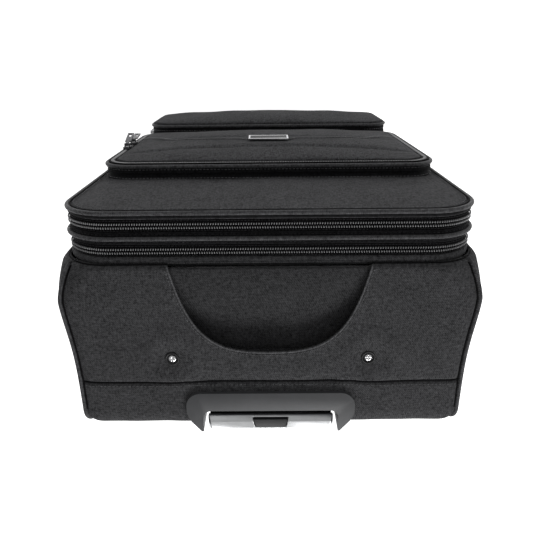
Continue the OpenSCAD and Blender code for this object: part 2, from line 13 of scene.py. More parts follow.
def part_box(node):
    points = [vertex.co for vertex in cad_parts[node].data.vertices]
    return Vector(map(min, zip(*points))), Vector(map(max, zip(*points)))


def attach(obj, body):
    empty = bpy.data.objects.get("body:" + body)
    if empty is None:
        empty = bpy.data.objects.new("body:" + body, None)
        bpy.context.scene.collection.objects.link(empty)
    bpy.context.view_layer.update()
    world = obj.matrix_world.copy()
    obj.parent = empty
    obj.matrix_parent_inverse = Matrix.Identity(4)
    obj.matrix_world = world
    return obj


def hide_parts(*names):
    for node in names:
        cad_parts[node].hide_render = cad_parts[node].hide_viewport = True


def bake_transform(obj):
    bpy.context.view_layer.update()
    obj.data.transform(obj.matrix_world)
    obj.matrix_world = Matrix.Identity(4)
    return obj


bl_info = {
    "name": "Flight case builder",
    "version": (1, 0, 0),
    "blender": (4, 5, 0),
    "location": "View3D > Sidebar > Flight case",
    "description": "Builds the soft parts and finishes of a rolling flight case round its frame",
    "category": "Object",
}

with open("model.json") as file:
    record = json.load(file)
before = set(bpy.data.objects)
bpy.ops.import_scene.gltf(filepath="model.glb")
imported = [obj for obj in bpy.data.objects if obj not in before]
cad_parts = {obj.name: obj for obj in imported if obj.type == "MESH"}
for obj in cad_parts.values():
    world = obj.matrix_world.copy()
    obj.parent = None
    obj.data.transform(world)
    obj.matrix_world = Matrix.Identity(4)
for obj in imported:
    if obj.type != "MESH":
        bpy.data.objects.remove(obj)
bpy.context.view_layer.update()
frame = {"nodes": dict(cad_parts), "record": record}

# ---- places read from the frame ----

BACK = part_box("back_tub")[1].y
HALF_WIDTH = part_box("side_panels")[1].x
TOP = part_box("back_tub")[1].z
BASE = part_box("back_tub")[0].z
SEAM_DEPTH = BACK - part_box("back_tub")[0].y
BODY_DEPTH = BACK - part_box("side_panels")[0].y
BAND_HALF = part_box("expander_ring")[1].x
BAND_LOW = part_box("expander_ring")[0].z
BAND_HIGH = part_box("expander_ring")[1].z
BINDING_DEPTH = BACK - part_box("front_binding")[0].y
RING_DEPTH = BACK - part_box("expander_ring")[1].y
RING_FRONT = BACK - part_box("expander_ring")[0].y
EXPANDER_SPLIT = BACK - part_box("expander_zip_rear")[0].y
MAIN_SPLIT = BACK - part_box("main_zip_rear")[0].y
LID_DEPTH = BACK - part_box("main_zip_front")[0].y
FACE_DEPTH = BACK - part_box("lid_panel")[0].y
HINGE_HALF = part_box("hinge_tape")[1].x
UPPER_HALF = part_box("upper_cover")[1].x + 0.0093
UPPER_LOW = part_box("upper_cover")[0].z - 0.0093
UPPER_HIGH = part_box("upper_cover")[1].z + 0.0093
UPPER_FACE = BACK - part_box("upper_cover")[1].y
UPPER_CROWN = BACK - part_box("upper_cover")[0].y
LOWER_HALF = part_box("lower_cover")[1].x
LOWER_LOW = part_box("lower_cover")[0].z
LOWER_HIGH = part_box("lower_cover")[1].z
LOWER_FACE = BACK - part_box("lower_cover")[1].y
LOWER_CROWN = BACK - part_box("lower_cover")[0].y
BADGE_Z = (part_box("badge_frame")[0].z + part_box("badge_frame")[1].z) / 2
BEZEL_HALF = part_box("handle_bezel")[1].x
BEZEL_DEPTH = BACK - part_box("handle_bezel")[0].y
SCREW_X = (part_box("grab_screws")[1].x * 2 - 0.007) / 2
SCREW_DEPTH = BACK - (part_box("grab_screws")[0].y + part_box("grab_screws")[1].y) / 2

BACK_RADIUS = 0.014
FRONT_RADIUS = 0.042
TAPER_DEPTH = 0.130
POCKET_RADIUS = 0.028
EDGE_ROLL = 0.005
FORWARD = Vector((0.0, -1.0, 0.0))
INSIDE = Vector((0.0, BACK - 0.1, (BASE + TOP) / 2))


# ---- settings ----


class FabricSettings(bpy.types.PropertyGroup):
    """Cloth colours and the softness of the panels."""

    twill_colour: FloatVectorProperty(
        name="Twill colour",
        description="Colour of the outer fabric",
        subtype="COLOR",
        default=(0.046, 0.046, 0.048),
        min=0.0,
        max=1.0,
    )
    trim_colour: FloatVectorProperty(
        name="Trim colour",
        description="Colour of bindings, gussets and tapes",
        subtype="COLOR",
        default=(0.012, 0.012, 0.013),
        min=0.0,
        max=1.0,
    )
    weave_pitch: FloatProperty(
        name="Weave pitch",
        description="Distance between two ribs of the twill",
        default=0.0011,
        min=0.0004,
        max=0.003,
        unit="LENGTH",
        precision=5,
    )
    side_bulge: FloatProperty(
        name="Side bulge",
        description="How far the sides swell past the frame",
        default=0.0078,
        min=0.0,
        max=0.012,
        unit="LENGTH",
        precision=4,
    )
    ripple: FloatProperty(
        name="Ripple",
        description="Height of the soft waves in the panels",
        default=0.0009,
        min=0.0,
        max=0.003,
        unit="LENGTH",
        precision=4,
    )


class ZipSettings(bpy.types.PropertyGroup):
    """Sizes of the coil zips."""

    tooth_pitch: FloatProperty(
        name="Tooth pitch",
        description="Distance between two teeth of one side",
        default=0.0021,
        min=0.001,
        max=0.004,
        unit="LENGTH",
        precision=4,
    )
    tooth_width: FloatProperty(
        name="Tooth width",
        description="Width of a tooth along the zip",
        default=0.0011,
        min=0.0005,
        max=0.002,
        unit="LENGTH",
        precision=4,
    )
    stitch_pitch: FloatProperty(
        name="Stitch pitch",
        description="Distance between two stitches",
        default=0.0036,
        min=0.002,
        max=0.008,
        unit="LENGTH",
        precision=4,
    )


class StageSettings(bpy.types.PropertyGroup):
    """Studio floor and lights."""

    floor_colour: FloatVectorProperty(
        name="Floor colour",
        description="Colour of the plain floor",
        subtype="COLOR",
        default=(0.95, 0.95, 0.95),
        min=0.0,
        max=1.0,
    )
    key_power: FloatProperty(
        name="Key power",
        description="Power of the large soft light in watts",
        default=17.0,
        min=0.0,
        max=200.0,
    )
    lens: FloatProperty(
        name="Lens",
        description="Focal length of the camera",
        default=37.0,
        min=20.0,
        max=100.0,
        unit="CAMERA",
    )


# ---- mesh tools ----


def place(x, depth, z):
    """A point given across, forward from the back of the case, and up."""
    return Vector((x, BACK - depth, z))


def soft_wave(point, scale, seed=0.0):
    """A smooth value from -1 to 1 that drifts over the given distance."""
    return noise.noise(Vector(point) / scale + Vector((seed, seed * 0.7, seed * 1.3)))


def smooth_step(value):
    value = min(1.0, max(0.0, value))
    return value * value * (3.0 - 2.0 * value)


def mesh_object(name, points, faces):
    """A smooth-shaded mesh object from points and faces."""
    mesh = bpy.data.meshes.new(name)
    mesh.from_pydata([tuple(point) for point in points], [], [tuple(face) for face in faces])
    mesh.validate()
    work = bmesh.new()
    work.from_mesh(mesh)
    bmesh.ops.recalc_face_normals(work, faces=work.faces)
    work.to_mesh(mesh)
    work.free()
    mesh.polygons.foreach_set("use_smooth", [True] * len(mesh.polygons))
    mesh.update()
    obj = bpy.data.objects.new(name, mesh)
    bpy.context.scene.collection.objects.link(obj)
    return obj


def grid_faces(rows, columns, wrap=False):
    """Quads of a grid whose points run row by row; wrap closes each row."""
    faces = []
    for row in range(rows - 1):
        for column in range(columns if wrap else columns - 1):
            following = (column + 1) % columns
            first = row * columns
            second = first + columns
            faces.append((first + column, first + following, second + following, second + column))
    return faces


def face_outwards(obj, inside):
    """Turns the faces of an open surface away from a point behind it."""
    turned = 0.0
    for face in obj.data.polygons:
        turned += (face.center - inside).normalized().dot(face.normal) * face.area
    if turned < 0.0:
        obj.data.flip_normals()
        obj.data.update()
    return obj


def thicken(obj, thickness, inside):
    """Gives a cloth surface its thickness towards the inside, so that it is a closed body."""
    face_outwards(obj, inside)
    solid = obj.modifiers.new("Thickness", "SOLIDIFY")
    solid.thickness = thickness
    solid.offset = -1.0
    solid.use_even_offset = False
    return obj


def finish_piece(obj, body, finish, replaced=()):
    """Gives a piece its material, its body and the nodes that it stands for."""
    obj.data.materials.clear()
    obj.data.materials.append(finish)
    if body is not None:
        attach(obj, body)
    if replaced:
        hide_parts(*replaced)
    return obj


ACROSS_STEPS = 72
CORNER_STEPS = 16


def rounded_outline(half_w, low, high, radius, across=ACROSS_STEPS, upright=96, corner=CORNER_STEPS):
    """Points and outward normals round a rounded rectangle in x and z, from the top middle towards +X."""
    points = []
    normals = []

    def straight(start, end, normal, steps):
        for step in range(steps):
            share = step / steps
            points.append((start[0] + (end[0] - start[0]) * share, start[1] + (end[1] - start[1]) * share))
            normals.append(normal)

    def bend(centre_x, centre_z, start):
        for step in range(corner):
            angle = start - math.pi / 2 * step / corner
            normal = (math.cos(angle), math.sin(angle))
            points.append((centre_x + radius * normal[0], centre_z + radius * normal[1]))
            normals.append(normal)

    inner = half_w - radius
    straight((0.0, high), (inner, high), (0.0, 1.0), across // 2)
    bend(inner, high - radius, math.pi / 2)
    straight((half_w, high - radius), (half_w, low + radius), (1.0, 0.0), upright)
    bend(inner, low + radius, 0.0)
    straight((inner, low), (-inner, low), (0.0, -1.0), across)
    bend(-inner, low + radius, -math.pi / 2)
    straight((-half_w, low + radius), (-half_w, high - radius), (-1.0, 0.0), upright)
    bend(-inner, high - radius, -math.pi)
    straight((-inner, high), (0.0, high), (0.0, 1.0), across // 2)
    return np.array(points), np.array(normals)


def ring_points(outline, normals, offset, depth):
    """An outline moved outwards by offset and set at a depth."""
    moved = outline + normals * offset
    return [place(x, depth, z) for x, z in moved]


def swept_ring(name, shape, profile, wave=0.0, seed=0.0):
    """A closed band round a rounded rectangle: profile holds (outwards, depth) pairs and closes on itself."""
    outline, normals = rounded_outline(*shape)
    points = []
    for outwards, depth in profile:
        for (x, z), (nx, nz) in zip(outline, normals):
            shift = outwards + wave * soft_wave((x, depth, z), 0.06, seed)
            points.append(place(x + nx * shift, depth, z + nz * shift))
    count = len(outline)
    faces = grid_faces(len(profile), count, wrap=True)
    last = (len(profile) - 1) * count
    for column in range(count):
        following = (column + 1) % count
        faces.append((last + column, last + following, following, column))
    return mesh_object(name, points, faces)


def resample(points, pitch, closed=False):
    """Evenly spaced points along a line, with the share of the way at each."""
    line = [Vector(point) for point in points]
    if closed:
        line.append(line[0])
    lengths = np.array([0.0] + [(b - a).length for a, b in zip(line, line[1:])]).cumsum()
    count = max(2, int(round(lengths[-1] / pitch)))
    places = np.linspace(0.0, lengths[-1], count, endpoint=not closed)
    coords = np.array(line)
    return [Vector([np.interp(at, lengths, coords[:, axis]) for axis in range(3)]) for at in places]


def directions(points, closed=False):
    """The direction of a line at each of its points."""
    count = len(points)
    found = []
    for index in range(count):
        before = points[(index - 1) % count] if closed or index > 0 else points[index]
        after = points[(index + 1) % count] if closed or index < count - 1 else points[index]
        found.append((after - before).normalized())
    return found


def tube(name, points, radius, up, closed=False, sides=12, flatten=1.0):
    """A round cord along a line; up is one direction or one for each point."""
    along = directions(points, closed)
    rings = []
    for index, point in enumerate(points):
        top = up[index] if isinstance(up, list) else up
        side = along[index].cross(top).normalized()
        top = side.cross(along[index]).normalized()
        for step in range(sides):
            angle = 2.0 * math.pi * step / sides
            rise = top * (radius * flatten * math.sin(angle))
            rings.append(point + side * (radius * math.cos(angle)) + rise)
    faces = grid_faces(len(points), sides, wrap=True)
    if closed:
        last = (len(points) - 1) * sides
        for column in range(sides):
            following = (column + 1) % sides
            faces.append((last + column, last + following, following, column))
    else:
        faces.append(tuple(reversed(range(sides))))
        faces.append(tuple(range((len(points) - 1) * sides, len(points) * sides)))
    return mesh_object(name, rings, faces)


def beads(name, centres, along, outwards, length, width, height, stations=4, sides=5):
    """Small closed rounded bars, such as teeth and stitches, each lying along one direction."""
    shape = []
    for station in range(stations):
        share = -1.0 + 2.0 * station / (stations - 1)
        swell = math.sqrt(max(0.0, 1.0 - (0.88 * abs(share)) ** 4))
        for side in range(sides):
            angle = math.pi * side / (sides - 1)
            across = math.cos(angle) * width / 2 * swell
            shape.append((share * length / 2, across, math.sin(angle) * height * swell))
    shape = np.array(shape)
    place_at = np.array([tuple(point) for point in centres])
    first = np.array([tuple(direction) for direction in along])
    third = np.array([tuple(direction) for direction in outwards])
    second = np.cross(third, first)
    points = (
        place_at[:, None, :]
        + first[:, None, :] * shape[None, :, 0:1]
        + second[:, None, :] * shape[None, :, 1:2]
        + third[:, None, :] * shape[None, :, 2:3]
    )
    one = grid_faces(stations, sides, wrap=True)
    one.append(tuple(reversed(range(sides))))
    one.append(tuple(range((stations - 1) * sides, stations * sides)))
    faces = []
    for index in range(len(place_at)):
        start = index * stations * sides
        faces.extend(tuple(start + corner for corner in face) for face in one)
    return mesh_object(name, points.reshape(-1, 3), faces)


def stitch_line(name, points, outwards, closed, body, pitch=None, thread="thread"):
    """A row of stitches along a line; outwards is one direction or a function of a point."""
    gap = pitch or bpy.context.scene.case_zips.stitch_pitch
    spaced = resample(points, gap, closed)
    along = directions(spaced, closed)
    up = [outwards(point) if callable(outwards) else outwards for point in spaced]
    up = [(normal - line * normal.dot(line)).normalized() for normal, line in zip(up, along)]
    row = beads(name, spaced, along, up, gap * 0.74, 0.0009, 0.00045, stations=3, sides=4)
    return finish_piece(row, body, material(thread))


def rounded_normal(half_w, low, high, radius):
    """The outward direction at a point on a rounded rectangle."""

    def outwards(point):
        x = max(-(half_w - radius), min(half_w - radius, point.x))
        z = max(low + radius, min(high - radius, point.z))
        direction = Vector((point.x - x, 0.0, point.z - z))
        return direction.normalized() if direction.length > 1e-6 else Vector((0.0, 0.0, 1.0))

    return outwards


# ---- finishes ----


def new_material(name):
    """An empty node material with its shader and a position in metres."""
    made = bpy.data.materials.new(name)
    made.use_nodes = True
    tree = made.node_tree
    tree.nodes.clear()
    output = tree.nodes.new("ShaderNodeOutputMaterial")
    shader = tree.nodes.new("ShaderNodeBsdfPrincipled")
    tree.links.new(shader.outputs[0], output.inputs["Surface"])
    coords = tree.nodes.new("ShaderNodeTexCoord")
    return made, tree, shader, coords.outputs["Object"]


def noise_value(tree, source, scale, detail=3.0, roughness=0.55, stretch=(1.0, 1.0, 1.0)):
    """Cloudy value whose size is 1/scale metres, stretched along the axes if asked."""
    mapping = tree.nodes.new("ShaderNodeMapping")
    mapping.inputs["Scale"].default_value = stretch
    cloud = tree.nodes.new("ShaderNodeTexNoise")
    cloud.inputs["Scale"].default_value = scale
    cloud.inputs["Detail"].default_value = detail
    cloud.inputs["Roughness"].default_value = roughness
    tree.links.new(source, mapping.inputs["Vector"])
    tree.links.new(mapping.outputs[0], cloud.inputs["Vector"])
    return cloud.outputs["Fac"]


def rib_value(tree, source, direction, pitch):
    """Fine ribs across a direction, one for each pitch."""
    dot = tree.nodes.new("ShaderNodeVectorMath")
    dot.operation = "DOT_PRODUCT"
    dot.inputs[1].default_value = Vector(direction).normalized() * (2.0 * math.pi / pitch)
    tree.links.new(source, dot.inputs[0])
    return math_value(tree, "SINE", dot.outputs["Value"])


def math_value(tree, operation, first, second=None):
    """One arithmetic step on node values or numbers."""
    step = tree.nodes.new("ShaderNodeMath")
    step.operation = operation
    for socket, value in zip(step.inputs, (first, second)):
        if value is None:
            continue
        if isinstance(value, (int, float)):
            socket.default_value = value
        else:
            tree.links.new(value, socket)
    return step.outputs[0]


def blend_colours(tree, share, low, high):
    """A colour between two, by a value from 0 to 1."""
    ramp = tree.nodes.new("ShaderNodeValToRGB")
    ramp.color_ramp.elements[0].color = (*low, 1.0)
    ramp.color_ramp.elements[1].color = (*high, 1.0)
    tree.links.new(share, ramp.inputs["Fac"])
    return ramp


def add_bump(tree, shader, height, strength, distance):
    """Relief on the surface from a height value."""
    bump = tree.nodes.new("ShaderNodeBump")
    bump.inputs["Strength"].default_value = strength
    bump.inputs["Distance"].default_value = distance
    tree.links.new(height, bump.inputs["Height"])
    tree.links.new(bump.outputs[0], shader.inputs["Normal"])


def shade(colour, factor):
    return tuple(min(1.0, channel * factor) for channel in colour)


def woven_finish(name, colour, pitch, roughness, sheen, relief):
    """Twill or plain weave: crossed ribs, cloudy tone, stray light fibres and a soft sheen."""
    made, tree, shader, position = new_material(name)
    diagonal = rib_value(tree, position, (1.0, 0.83, 1.21), pitch)
    cross = rib_value(tree, position, (1.0, -0.91, -1.13), pitch * 0.61)
    ribs = math_value(tree, "MULTIPLY", diagonal, math_value(tree, "MULTIPLY_ADD", cross, 0.35))
    clouds = noise_value(tree, position, 42.0, 4.0)
    weft = noise_value(tree, position, 820.0, 2.0, 0.6, (1.0, 0.3, 0.3))
    warp = noise_value(tree, position, 820.0, 2.0, 0.6, (0.3, 1.0, 1.0))
    grain = noise_value(tree, position, 1500.0, 2.0, 0.7)
    mixed = math_value(tree, "MULTIPLY", clouds, 0.08)
    yarned = math_value(tree, "MULTIPLY", math_value(tree, "ADD", weft, warp), 0.36)
    grained = math_value(tree, "MULTIPLY", grain, 0.20)
    tone = math_value(tree, "ADD", math_value(tree, "ADD", mixed, yarned), grained)
    ribbed = math_value(tree, "MULTIPLY", diagonal, 0.04)
    share = math_value(tree, "ADD", tone, ribbed)
    ramp = blend_colours(tree, share, shade(colour, 0.30), shade(colour, 2.15))
    ramp.color_ramp.elements[0].position = 0.36
    ramp.color_ramp.elements[1].position = 0.68
    tree.links.new(ramp.outputs["Color"], shader.inputs["Base Color"])
    rough = tree.nodes.new("ShaderNodeMapRange")
    rough.inputs["To Min"].default_value = roughness - 0.08
    rough.inputs["To Max"].default_value = min(1.0, roughness + 0.08)
    tree.links.new(grain, rough.inputs["Value"])
    tree.links.new(rough.outputs["Result"], shader.inputs["Roughness"])
    height = math_value(tree, "ADD", math_value(tree, "MULTIPLY", ribs, 0.5), grained)
    add_bump(tree, shader, height, relief, 0.0004)
    shader.inputs["Sheen Weight"].default_value = sheen
    shader.inputs["Sheen Roughness"].default_value = 0.45
    shader.inputs["Specular IOR Level"].default_value = 0.12
    shader.inputs["IOR"].default_value = 1.25
    return made


def plastic_finish(name, colour, roughness, grain_scale, relief, coat=0.0):
    """Moulded plastic: fine texture, uneven gloss and faint rubbing marks."""
    made, tree, shader, position = new_material(name)
    grain = noise_value(tree, position, grain_scale, 3.0, 0.6)
    clouds = noise_value(tree, position, 60.0, 3.0)
    marks = noise_value(tree, position, 260.0, 5.0, 0.7, (1.0, 6.0, 0.6))
    ramp = blend_colours(tree, clouds, shade(colour, 0.8), shade(colour, 1.25))
    tree.links.new(ramp.outputs["Color"], shader.inputs["Base Color"])
    rough = tree.nodes.new("ShaderNodeMapRange")
    rough.inputs["To Min"].default_value = roughness - 0.1
    rough.inputs["To Max"].default_value = min(1.0, roughness + 0.12)
    tree.links.new(marks, rough.inputs["Value"])
    tree.links.new(rough.outputs["Result"], shader.inputs["Roughness"])
    add_bump(tree, shader, grain, relief, 0.0002)
    shader.inputs["Coat Weight"].default_value = coat
    shader.inputs["Specular IOR Level"].default_value = 0.38
    return made


def metal_finish(name, colour, roughness, brushed, metallic=1.0):
    """Metal with fine drawn lines or a cast grain, and uneven polish."""
    made, tree, shader, position = new_material(name)
    stretch = (0.06, 1.0, 1.0) if brushed else (1.0, 1.0, 1.0)
    lines = noise_value(tree, position, 2600.0 if brushed else 900.0, 3.0, 0.65, stretch)
    clouds = noise_value(tree, position, 90.0, 3.0)
    ramp = blend_colours(tree, clouds, shade(colour, 0.82), shade(colour, 1.08))
    tree.links.new(ramp.outputs["Color"], shader.inputs["Base Color"])
    rough = tree.nodes.new("ShaderNodeMapRange")
    rough.inputs["To Min"].default_value = max(0.03, roughness - 0.08)
    rough.inputs["To Max"].default_value = roughness + 0.1
    tree.links.new(lines, rough.inputs["Value"])
    tree.links.new(rough.outputs["Result"], shader.inputs["Roughness"])
    add_bump(tree, shader, lines, 0.06, 0.00010)
    shader.inputs["Metallic"].default_value = metallic
    return made


def material(kind):
    """The finish with that name, made the first time it is asked for."""
    name = f"{kind}_finish"
    if name in bpy.data.materials:
        return bpy.data.materials[name]
    fabric = bpy.context.scene.case_fabric
    twill = tuple(fabric.twill_colour)
    trim = tuple(fabric.trim_colour)
    pitch = fabric.weave_pitch
    recipes = {
        "twill": lambda: woven_finish(name, twill, pitch, 0.80, 0.015, 0.75),
        "edge_fabric": lambda: woven_finish(name, shade(trim, 0.8), pitch * 0.8, 0.80, 0.04, 0.45),
        # inner_cloth is the twill darkened as painted shade for the recess of the grab pocket
        "inner_cloth": lambda: woven_finish(name, shade(twill, 0.72), pitch, 0.80, 0.05, 0.75),
        "lining_cloth": lambda: woven_finish(name, (0.13, 0.13, 0.14), pitch * 0.6, 0.55, 0.25, 0.3),
        "webbing": lambda: woven_finish(name, shade(trim, 1.6), 0.0016, 0.8, 0.15, 0.9),
        "zip_tape": lambda: woven_finish(name, shade(trim, 0.45), 0.0009, 0.80, 0.02, 0.5),
        # piping is lighter than the twill as painted highlight along the rolled cords, which are near black;
        # their gloss is real
        "piping": lambda: woven_finish(name, shade(twill, 1.3), 0.0009, 0.42, 0.05, 0.35),
        "thread": lambda: woven_finish(name, shade(twill, 2.0), 0.0006, 0.6, 0.12, 0.5),
        "dark_thread": lambda: woven_finish(name, shade(trim, 1.5), 0.0006, 0.6, 0.05, 0.5),
        # the teeth are light grey as painted highlight for the glints on the dark coil; their gloss is real
        "zip_teeth": lambda: plastic_finish(name, (0.260, 0.260, 0.265), 0.24, 1800.0, 0.08),
        "housing_plastic": lambda: plastic_finish(name, (0.045, 0.046, 0.049), 0.50, 2200.0, 0.25),
        "black_plastic": lambda: plastic_finish(name, (0.012, 0.012, 0.013), 0.48, 1800.0, 0.30),
        "hub_plastic": lambda: plastic_finish(name, (0.070, 0.071, 0.075), 0.46, 1900.0, 0.25),
        "badge_enamel": lambda: plastic_finish(name, (0.006, 0.006, 0.007), 0.50, 500.0, 0.03),
        "wheel_rubber": lambda: plastic_finish(name, (0.016, 0.016, 0.017), 0.66, 1400.0, 0.45),
        "grip_metal": lambda: metal_finish(name, (0.80, 0.81, 0.82), 0.30, True),
        "tube_metal": lambda: metal_finish(name, (0.60, 0.61, 0.62), 0.26, True),
        "steel": lambda: metal_finish(name, (0.55, 0.55, 0.56), 0.30, False),
        "screw_metal": lambda: metal_finish(name, (0.72, 0.72, 0.73), 0.16, False),
        "slider_metal": lambda: metal_finish(name, (0.10, 0.10, 0.105), 0.30, False, 0.85),
        "bright_slider": lambda: metal_finish(name, (0.62, 0.62, 0.63), 0.20, False),
        "badge_metal": lambda: metal_finish(name, (0.62, 0.62, 0.63), 0.20, True),
    }
    return recipes[kind]()


# ---- body ----


def body_section(depth):
    """Half width, lowest and highest edge, and corner radius of the body at a depth."""
    bulge = bpy.context.scene.case_fabric.side_bulge
    back_reach = 0.018
    back_inset = 0.014
    inset = 0.0
    if depth < back_reach:
        share = (back_reach - depth) / back_reach
        inset = back_inset * (1.0 - math.sqrt(max(0.0, 1.0 - share * share)))
    roll_start = BODY_DEPTH - EDGE_ROLL
    if depth > roll_start:
        share = min(1.0, (depth - roll_start) / EDGE_ROLL)
        inset = EDGE_ROLL * (1.0 - math.sqrt(max(0.0, 1.0 - share * share)))
    opening = max(0.0, (depth - TAPER_DEPTH) / (BODY_DEPTH - TAPER_DEPTH))
    radius = BACK_RADIUS + (FRONT_RADIUS - BACK_RADIUS) * opening ** 1.3
    swell = bulge * math.exp(-(((depth - 0.138) / 0.046) ** 2))
    half_w = HALF_WIDTH + swell - inset
    return half_w, BASE + inset, TOP - inset, max(0.006, radius - inset * 0.4)


def plateau(value, half, edge):
    """1 inside a half width, falling to 0 over the edge beyond it."""
    return 1.0 - smooth_step((abs(value) - half) / edge)


def top_height(x, depth):
    """How far the top fabric stands above or below the flat frame."""
    fabric = bpy.context.scene.case_fabric
    crown = 0.0022 * math.cos(min(1.0, abs(x) / HALF_WIDTH) * math.pi / 2)
    crown *= smooth_step((BODY_DEPTH - depth) / 0.03)
    ripple = fabric.ripple * soft_wave((x, depth, 0.0), 0.055, 3.0)
    ripple += fabric.ripple * 0.5 * soft_wave((x, depth, 0.0), 0.022, 8.0)
    beside_bezel = plateau(x, BEZEL_HALF + 0.004, 0.020) * plateau(depth, BEZEL_DEPTH + 0.003, 0.010)
    loose = (crown * smooth_step(depth / 0.03) + ripple) * (1.0 - beside_bezel) + 0.0006 * beside_bezel
    from_screw = math.hypot(abs(x) - SCREW_X, depth - SCREW_DEPTH)
    dimple = -0.0022 * math.exp(-((from_screw / 0.010) ** 2))
    rise = 0.0014 * math.exp(-(((from_screw - 0.022) / 0.009) ** 2))
    seam = -0.0020 * math.exp(-abs(depth - SEAM_DEPTH) / 0.0022)
    hump = -0.0022 * plateau(x, 0.056, 0.016) * math.exp(-(((depth - SEAM_DEPTH - 0.001) / 0.007) ** 2))
    pinch = math.exp(-(((abs(x) - 0.074) / 0.008) ** 2)) * math.exp(-(((depth - SEAM_DEPTH) / 0.012) ** 2))
    return loose + dimple + rise + seam + hump - 0.0014 * pinch


def top_surface(arc, depth):
    """A point on the top fabric; arc runs across from the middle and on round the corner."""
    half_w, _, high, radius = body_section(depth)
    flat = half_w - radius
    away = abs(arc) - flat
    if away <= 0.0:
        return place(arc, depth, high + top_height(arc, depth))
    angle = away / radius
    side = math.copysign(flat + radius * math.sin(angle), arc)
    drop = high - radius + radius * math.cos(angle)
    fade = max(0.0, math.cos(angle * 1.5))
    return place(side, depth, drop + top_height(side, depth) * fade)


def top_reach(depth):
    """Arc length from the middle of the top to the piping at the corner."""
    half_w, _, _, radius = body_section(depth)
    return half_w - radius + radius * math.pi / 4


def cut_outline(count):
    """The edge of the grab opening, from its front left to its front right, as (across, depth)."""
    front_half = 0.087
    reach = 0.083
    half = []
    for share in np.linspace(0.0, 1.0, 400):
        across = front_half * (1.0 - 0.27 * share) * (1.0 - share**4) ** (1.0 / 3.0)
        half.append(Vector((-across, BODY_DEPTH - reach * share, 0.0)))
    line = half + [Vector((-point.x, point.y, 0.0)) for point in reversed(half[:-1])]
    length = sum((after - before).length for before, after in zip(line, line[1:]))
    return [(point.x, point.y) for point in resample(line, length / count)]


def outer_outline(count):
    """The sewn edge of the top panel opposite each point of the opening, as (share of reach, depth)."""
    side_steps = int(count * 0.32)
    back_steps = count - 2 * side_steps
    edge = [(-1.0, BODY_DEPTH - (BODY_DEPTH - SEAM_DEPTH) * step / side_steps) for step in range(side_steps)]
    edge += [(-1.0 + 2.0 * step / (back_steps - 1), SEAM_DEPTH) for step in range(back_steps)]
    edge += [(-x, depth) for x, depth in reversed(edge[:side_steps])]
    return edge


class CASE_OT_body(bpy.types.Operator):
    """Sews the back tub and the side panels"""

    bl_idname = "flight_case.body"
    bl_label = "Body panels"

    def side_wave(self, point):
        ripple = bpy.context.scene.case_fabric.ripple
        return 1.5 * ripple * soft_wave(point, 0.085, 5.0) + 0.5 * ripple * soft_wave(point, 0.03, 6.0)

    def shell_ring(self, depth):
        half_w, low, high, radius = body_section(depth)
        outline, normals = rounded_outline(half_w, low, high, radius)
        ring = []
        for (x, z), (nx, nz) in zip(outline, normals):
            point = place(x, depth, z)
            if nz > 0.72:
                lift = top_height(x, depth)
                ring.append(point + Vector((0.0, 0.0, lift)))
                continue
            swell = self.side_wave(point)
            upright = (z - low) / (high - low)
            belly = math.exp(-(((depth - 0.140) / 0.070) ** 2))
            swell += 0.0075 * abs(nx) * math.sin(math.pi * upright) * smooth_step(depth / 0.03) * belly
            ring.append(point + Vector((nx, 0.0, nz)) * swell)
        return ring

    def back_tub(self):
        depths = [0.018 * (1.0 - math.cos(math.pi / 2 * step / 9)) for step in range(10)]
        depths += [0.018 + (SEAM_DEPTH - 0.018) * step / 12 for step in range(1, 13)]
        rings = [self.shell_ring(depth) for depth in depths]
        centre = sum(rings[0], Vector()) / len(rings[0])
        inner = []
        for step in range(1, 34):
            share = step / 34
            row = []
            for point in rings[0]:
                flat = point.lerp(centre, share)
                slack = 0.0012 * soft_wave(flat, 0.09, 2.0) * smooth_step(share * 5)
                row.append(flat + Vector((0.0, slack, 0.0)))
            inner.append(row)
        rows = list(reversed(inner)) + rings
        count = len(rings[0])
        points = [point for row in rows for point in row]
        faces = grid_faces(len(rows), count, wrap=True)
        faces.append(tuple(reversed(range(count))))
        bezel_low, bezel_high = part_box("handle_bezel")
        keep_x = bezel_high.x - 0.006
        keep_depth = BACK - bezel_low.y - 0.008
        keep_z = bezel_low.z + 0.006

        def in_opening(face):
            middle = sum((points[corner] for corner in face), Vector()) / len(face)
            return abs(middle.x) < keep_x and BACK - middle.y < keep_depth and middle.z > keep_z

        faces = [face for face in faces if len(face) > 4 or not in_opening(face)]
        tub = mesh_object("back_tub_fabric", points, faces)
        thicken(tub, 0.0016, INSIDE)
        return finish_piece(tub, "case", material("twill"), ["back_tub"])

    def side_panels(self):
        depths = [SEAM_DEPTH + (BODY_DEPTH - EDGE_ROLL - SEAM_DEPTH) * step / 34 for step in range(35)]
        roll = BODY_DEPTH - EDGE_ROLL
        depths += [roll + EDGE_ROLL * math.sin(math.pi / 2 * step / 7) for step in range(1, 8)]
        rings = [self.shell_ring(depth) for depth in depths]
        corner_middle = ACROSS_STEPS // 2 + CORNER_STEPS // 2
        count = len(rings[0])
        rows = [ring[corner_middle:count - corner_middle + 1] for ring in rings]
        points = [point for row in rows for point in row]
        panels = mesh_object("side_panels_fabric", points, grid_faces(len(rows), len(rows[0])))
        thicken(panels, 0.0016, INSIDE)
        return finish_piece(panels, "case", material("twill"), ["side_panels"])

    def sunk_seam_shade(self):
        """A dark cord in the sunk seam between the tub and the panels, all round: painted shade in the seam's
        valley.
        """
        line = [point + Vector((0.0, 0.0, 0.0004)) for point in self.shell_ring(SEAM_DEPTH)]
        cord = tube("back_seam_shade_line", line, 0.0008, Vector((0.0, -1.0, 0.0)), closed=True, sides=8)
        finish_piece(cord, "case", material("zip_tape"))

    def execute(self, context):
        self.back_tub()
        self.side_panels()
        self.sunk_seam_shade()
        return {"FINISHED"}


